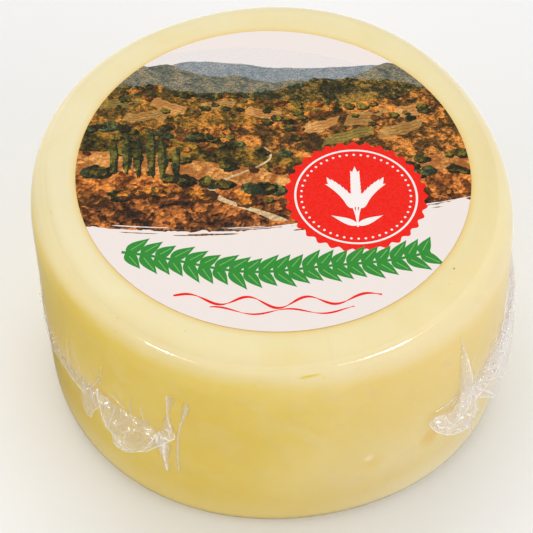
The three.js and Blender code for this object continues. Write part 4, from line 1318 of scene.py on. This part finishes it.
def paper_material():
    """Coated paper; where the picture is printed, foliage and grass break up each field of colour."""
    m = Nodes("label_print")
    where = m.place()
    wobble = m.node("TexNoise")
    m.put(wobble.inputs["Vector"], where)
    wobble.inputs["Scale"].default_value = 900
    wobble.inputs["Detail"].default_value = 2

    def crowns(size):
        """Lit and shaded sides of close round crowns `size` mm across, and one random number for each."""
        moved = m.node("VectorMath", operation="MULTIPLY_ADD")
        m.put(moved.inputs[0], wobble.outputs["Color"])
        moved.inputs[1].default_value = (0.9 * size * MM,) * 3
        m.put(moved.inputs[2], where)
        cells = []
        for dx, dy in ((0, 0), (-0.16, 0.22)):
            at_ = m.node("VectorMath", operation="ADD")
            m.put(at_.inputs[0], moved.outputs[0])
            at_.inputs[1].default_value = (dx * size * MM, dy * size * MM, 0)
            v = m.node("TexVoronoi", voronoi_dimensions="2D")
            m.put(v.inputs["Vector"], at_.outputs[0])
            v.inputs["Scale"].default_value = 1 / (size * MM)
            cells.append(v)
        relief = m.math("SUBTRACT", cells[0].outputs["Distance"], cells[1].outputs["Distance"])
        pick = m.node("SeparateColor")
        m.put(pick.inputs[0], cells[0].outputs["Color"])
        return relief, pick.outputs[0], cells[0].outputs["Distance"]

    near = m.attribute("near")
    fine, coarse = crowns(0.62), crowns(1.25)
    blend = lambda a, b: m.math("ADD", m.math("MULTIPLY", a, m.math("SUBTRACT", 1.0, near)), m.math("MULTIPLY", b, near))
    relief, pick, deep = (blend(a, b) for a, b in zip(fine, coarse))
    patches = m.noise(where, 170, 4, 0.62, 0.8)
    tufts = m.noise(where, 1500, 4, 0.7, 0.3)
    key = m.math("ADD", m.math("MULTIPLY", pick, 0.40), m.math("MULTIPLY", m.range(patches, 0.30, 0.70, 0.0, 1.0), 0.60))
    colour = m.mix(m.range(key, 0.48, 0.74, 0, 1), m.attribute("print", "Color"), m.attribute("print_lit", "Color"))
    colour = m.mix(m.range(key, 0.46, 0.26, 0, 1), colour, m.attribute("print_dark", "Color"))
    shade = m.math("ADD", m.range(relief, -0.20, 0.20, 0.62, 1.42), m.range(tufts, 0.3, 0.7, -0.22, 0.22))
    shade = m.math("MULTIPLY", shade, m.range(deep, 0.35, 0.75, 1.0, 0.72))
    lit = m.mix(1.0, colour, shade, "MULTIPLY")
    colour = m.mix(m.attribute("grain"), m.attribute("print", "Color"), lit)
    fibre = m.noise(where, 1500, 2, 0.5)
    colour = m.mix(m.range(fibre, 0.3, 0.7, 0.0, 0.035), colour, rgb(214, 200, 196))
    p = m.node("BsdfPrincipled")
    m.put(p.inputs["Base Color"], colour)
    m.put(p.inputs["Roughness"], m.range(patches, 0.3, 0.7, 0.40, 0.48))
    p.inputs["Specular IOR Level"].default_value = 0.08
    m.put(p.inputs["Normal"], m.bump_normal(fibre, 0.12, 0.00005))
    m.surface(p.outputs[0])
    return m.mat


cheese.data.materials.append(cheese_material())
skin_film = film_material("film_clear", (0.02, 0.05), 0.02, False)
loose_film = film_material("film_loose", (0.05, 0.12), 0.03, True)
film.data.materials.append(skin_film)
for piece in (film_seam, ear_left, ear_right, ear_back, film_pleats, film_beads):
    piece.data.materials.append(loose_film)
label.data.materials.append(paper_material())

for piece in (film, film_seam, ear_left, ear_right, ear_back, film_pleats, film_beads):
    piece.visible_shadow = False  # film this thin throws none that shows

# ---------------------------------------------------------------------------------------------
# What rides and replaces what
# ---------------------------------------------------------------------------------------------
for piece in (cheese, film, film_seam, ear_left, ear_right, ear_back, film_pleats, film_beads, label):
    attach(piece, "root")
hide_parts("cheese_wheel")
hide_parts("cheese_wheel")
for piece in (film_seam, ear_left, ear_right, ear_back, film_pleats, film_beads):
    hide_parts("film_seam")
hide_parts("label")

# ---------------------------------------------------------------------------------------------
# Floor, light
# ---------------------------------------------------------------------------------------------
floor_mesh = bpy.data.meshes.new("floor")
floor_mesh.from_pydata([(-3, -3, -0.0003), (3, -3, -0.0003), (3, 3, -0.0003), (-3, 3, -0.0003)], [], [(0, 1, 2, 3)])
floor = bpy.data.objects.new("floor", floor_mesh)
sc.collection.objects.link(floor)
m = Nodes("floor_pale")
p = m.node("BsdfDiffuse")
p.inputs["Color"].default_value = (0.94, 0.94, 0.94, 1)
m.surface(p.outputs[0])
floor_mesh.materials.append(m.mat)

world = bpy.data.worlds.new("studio")
world.use_nodes = True
world.node_tree.nodes["Background"].inputs["Color"].default_value = (1.0, 1.0, 1.0, 1)
world.node_tree.nodes["Background"].inputs["Strength"].default_value = 0.56
sc.world = world


def area(name, at, aim, width, height, radiance, colour=(1, 1, 1)):
    """A soft box at a point in millimetres, facing another. Radiance is in units of paper white."""
    data = bpy.data.lights.new(name, "AREA")
    data.shape = "RECTANGLE"
    data.size, data.size_y = width * MM, height * MM
    data.energy = radiance * math.pi * width * MM * height * MM
    data.color = colour
    obj = bpy.data.objects.new(name, data)
    obj.location = Vector(at) * MM
    obj.rotation_euler = (Vector(aim) - Vector(at)).to_track_quat("-Z", "Y").to_euler()
    obj.visible_camera = False
    sc.collection.objects.link(obj)
    return obj


def polar(azimuth, elevation, distance):
    a, e = math.radians(azimuth), math.radians(elevation)
    return (distance * math.cos(e) * math.cos(a), distance * math.cos(e) * math.sin(a), 40 + distance * math.sin(e))


MIDDLE = (0, 0, 40)
for name, where, size, radiance in (
    ("key", polar(99, 62, 1500), (1200, 1000), 2.0),
    ("fill_left", polar(-150, 22, 1500), (1400, 900), 1.6),
    ("fill_right", polar(-38, 24, 1500), (1300, 900), 1.75),
):
    area(name, where, MIDDLE, *size, radiance).visible_glossy = False
# strips that lie on the table and show as streaks on the shoulder
for name, azimuth, distance, size, radiance in (
    ("strip_left", -129.6, 338, (78, 30), 22), ("strip_left_soft", -127.0, 330, (160, 18), 5.0),
    ("strip_right", -43.6, 320, (76, 48), 18), ("strip_right_thin", -48.6, 320, (104, 20), 14), ("strip_right_soft", -46.0, 316, (250, 18), 4.5),
):
    a = math.radians(azimuth)
    at = (distance * math.cos(a), distance * math.sin(a), 6)
    strip = area(name, at, (at[0], at[1], 500), *size, radiance)
    strip.rotation_euler = (math.pi, 0, a + math.pi / 2)
    strip.data.shape = "ELLIPSE"

# boxes that show only as sparkles in the folds of the loose film
folded = bpy.data.collections.new("folded_film")
for piece in (film_seam, ear_left, ear_right, ear_back, film_pleats, film_beads):
    folded.objects.link(piece)
for name, azimuth, elevation, distance, size, radiance in (
    ("spark_left", -146.0, 14, 600, (150, 150), 13), ("spark_left_high", -118.0, 40, 700, (120, 120), 13), ("spark_left_low", -160.0, -6, 330, (110, 60), 12),
    ("spark_right", -34.0, 14, 600, (180, 180), 14), ("spark_right_high", -60.0, 40, 700, (140, 140), 14), ("spark_right_low", -22.0, -6, 330, (110, 60), 12),
):
    spark = area(name, polar(azimuth, elevation, distance), MIDDLE, *size, radiance)
    spark.visible_diffuse = spark.visible_transmission = False
    spark.light_linking.receiver_collection = folded

# the bright table around, as the film mirrors it: dim near the wheel at the front left, bright further out
glow_mesh = bpy.data.meshes.new("table_glow")
glow_mesh.from_pydata([(-1.2, -1.2, 0), (1.2, -1.2, 0), (1.2, 1.2, 0), (-1.2, 1.2, 0)], [], [(0, 1, 2, 3)])
glow = bpy.data.objects.new("table_glow", glow_mesh)
sc.collection.objects.link(glow)
m = Nodes("table_glow")
away = m.node("VectorMath", operation="DISTANCE")
m.put(away.inputs[0], m.node("TexCoord").outputs["Object"])
away.inputs[1].default_value = (-0.060, -0.104, 0)
shine = m.node("Emission")
m.put(shine.inputs["Strength"], m.range(away.outputs["Value"], 0.100, 0.200, 0.0, 1.1))
m.surface(shine.outputs[0])
glow_mesh.materials.append(m.mat)
glow.visible_camera = glow.visible_diffuse = glow.visible_shadow = glow.visible_transmission = False

# the loose film lies in many layers
sc.cycles.transparent_max_bounces = 32

sc.view_settings.view_transform = "Standard"
sc.view_settings.look = "None"
sc.view_settings.exposure = 0
sc.view_settings.gamma = 1
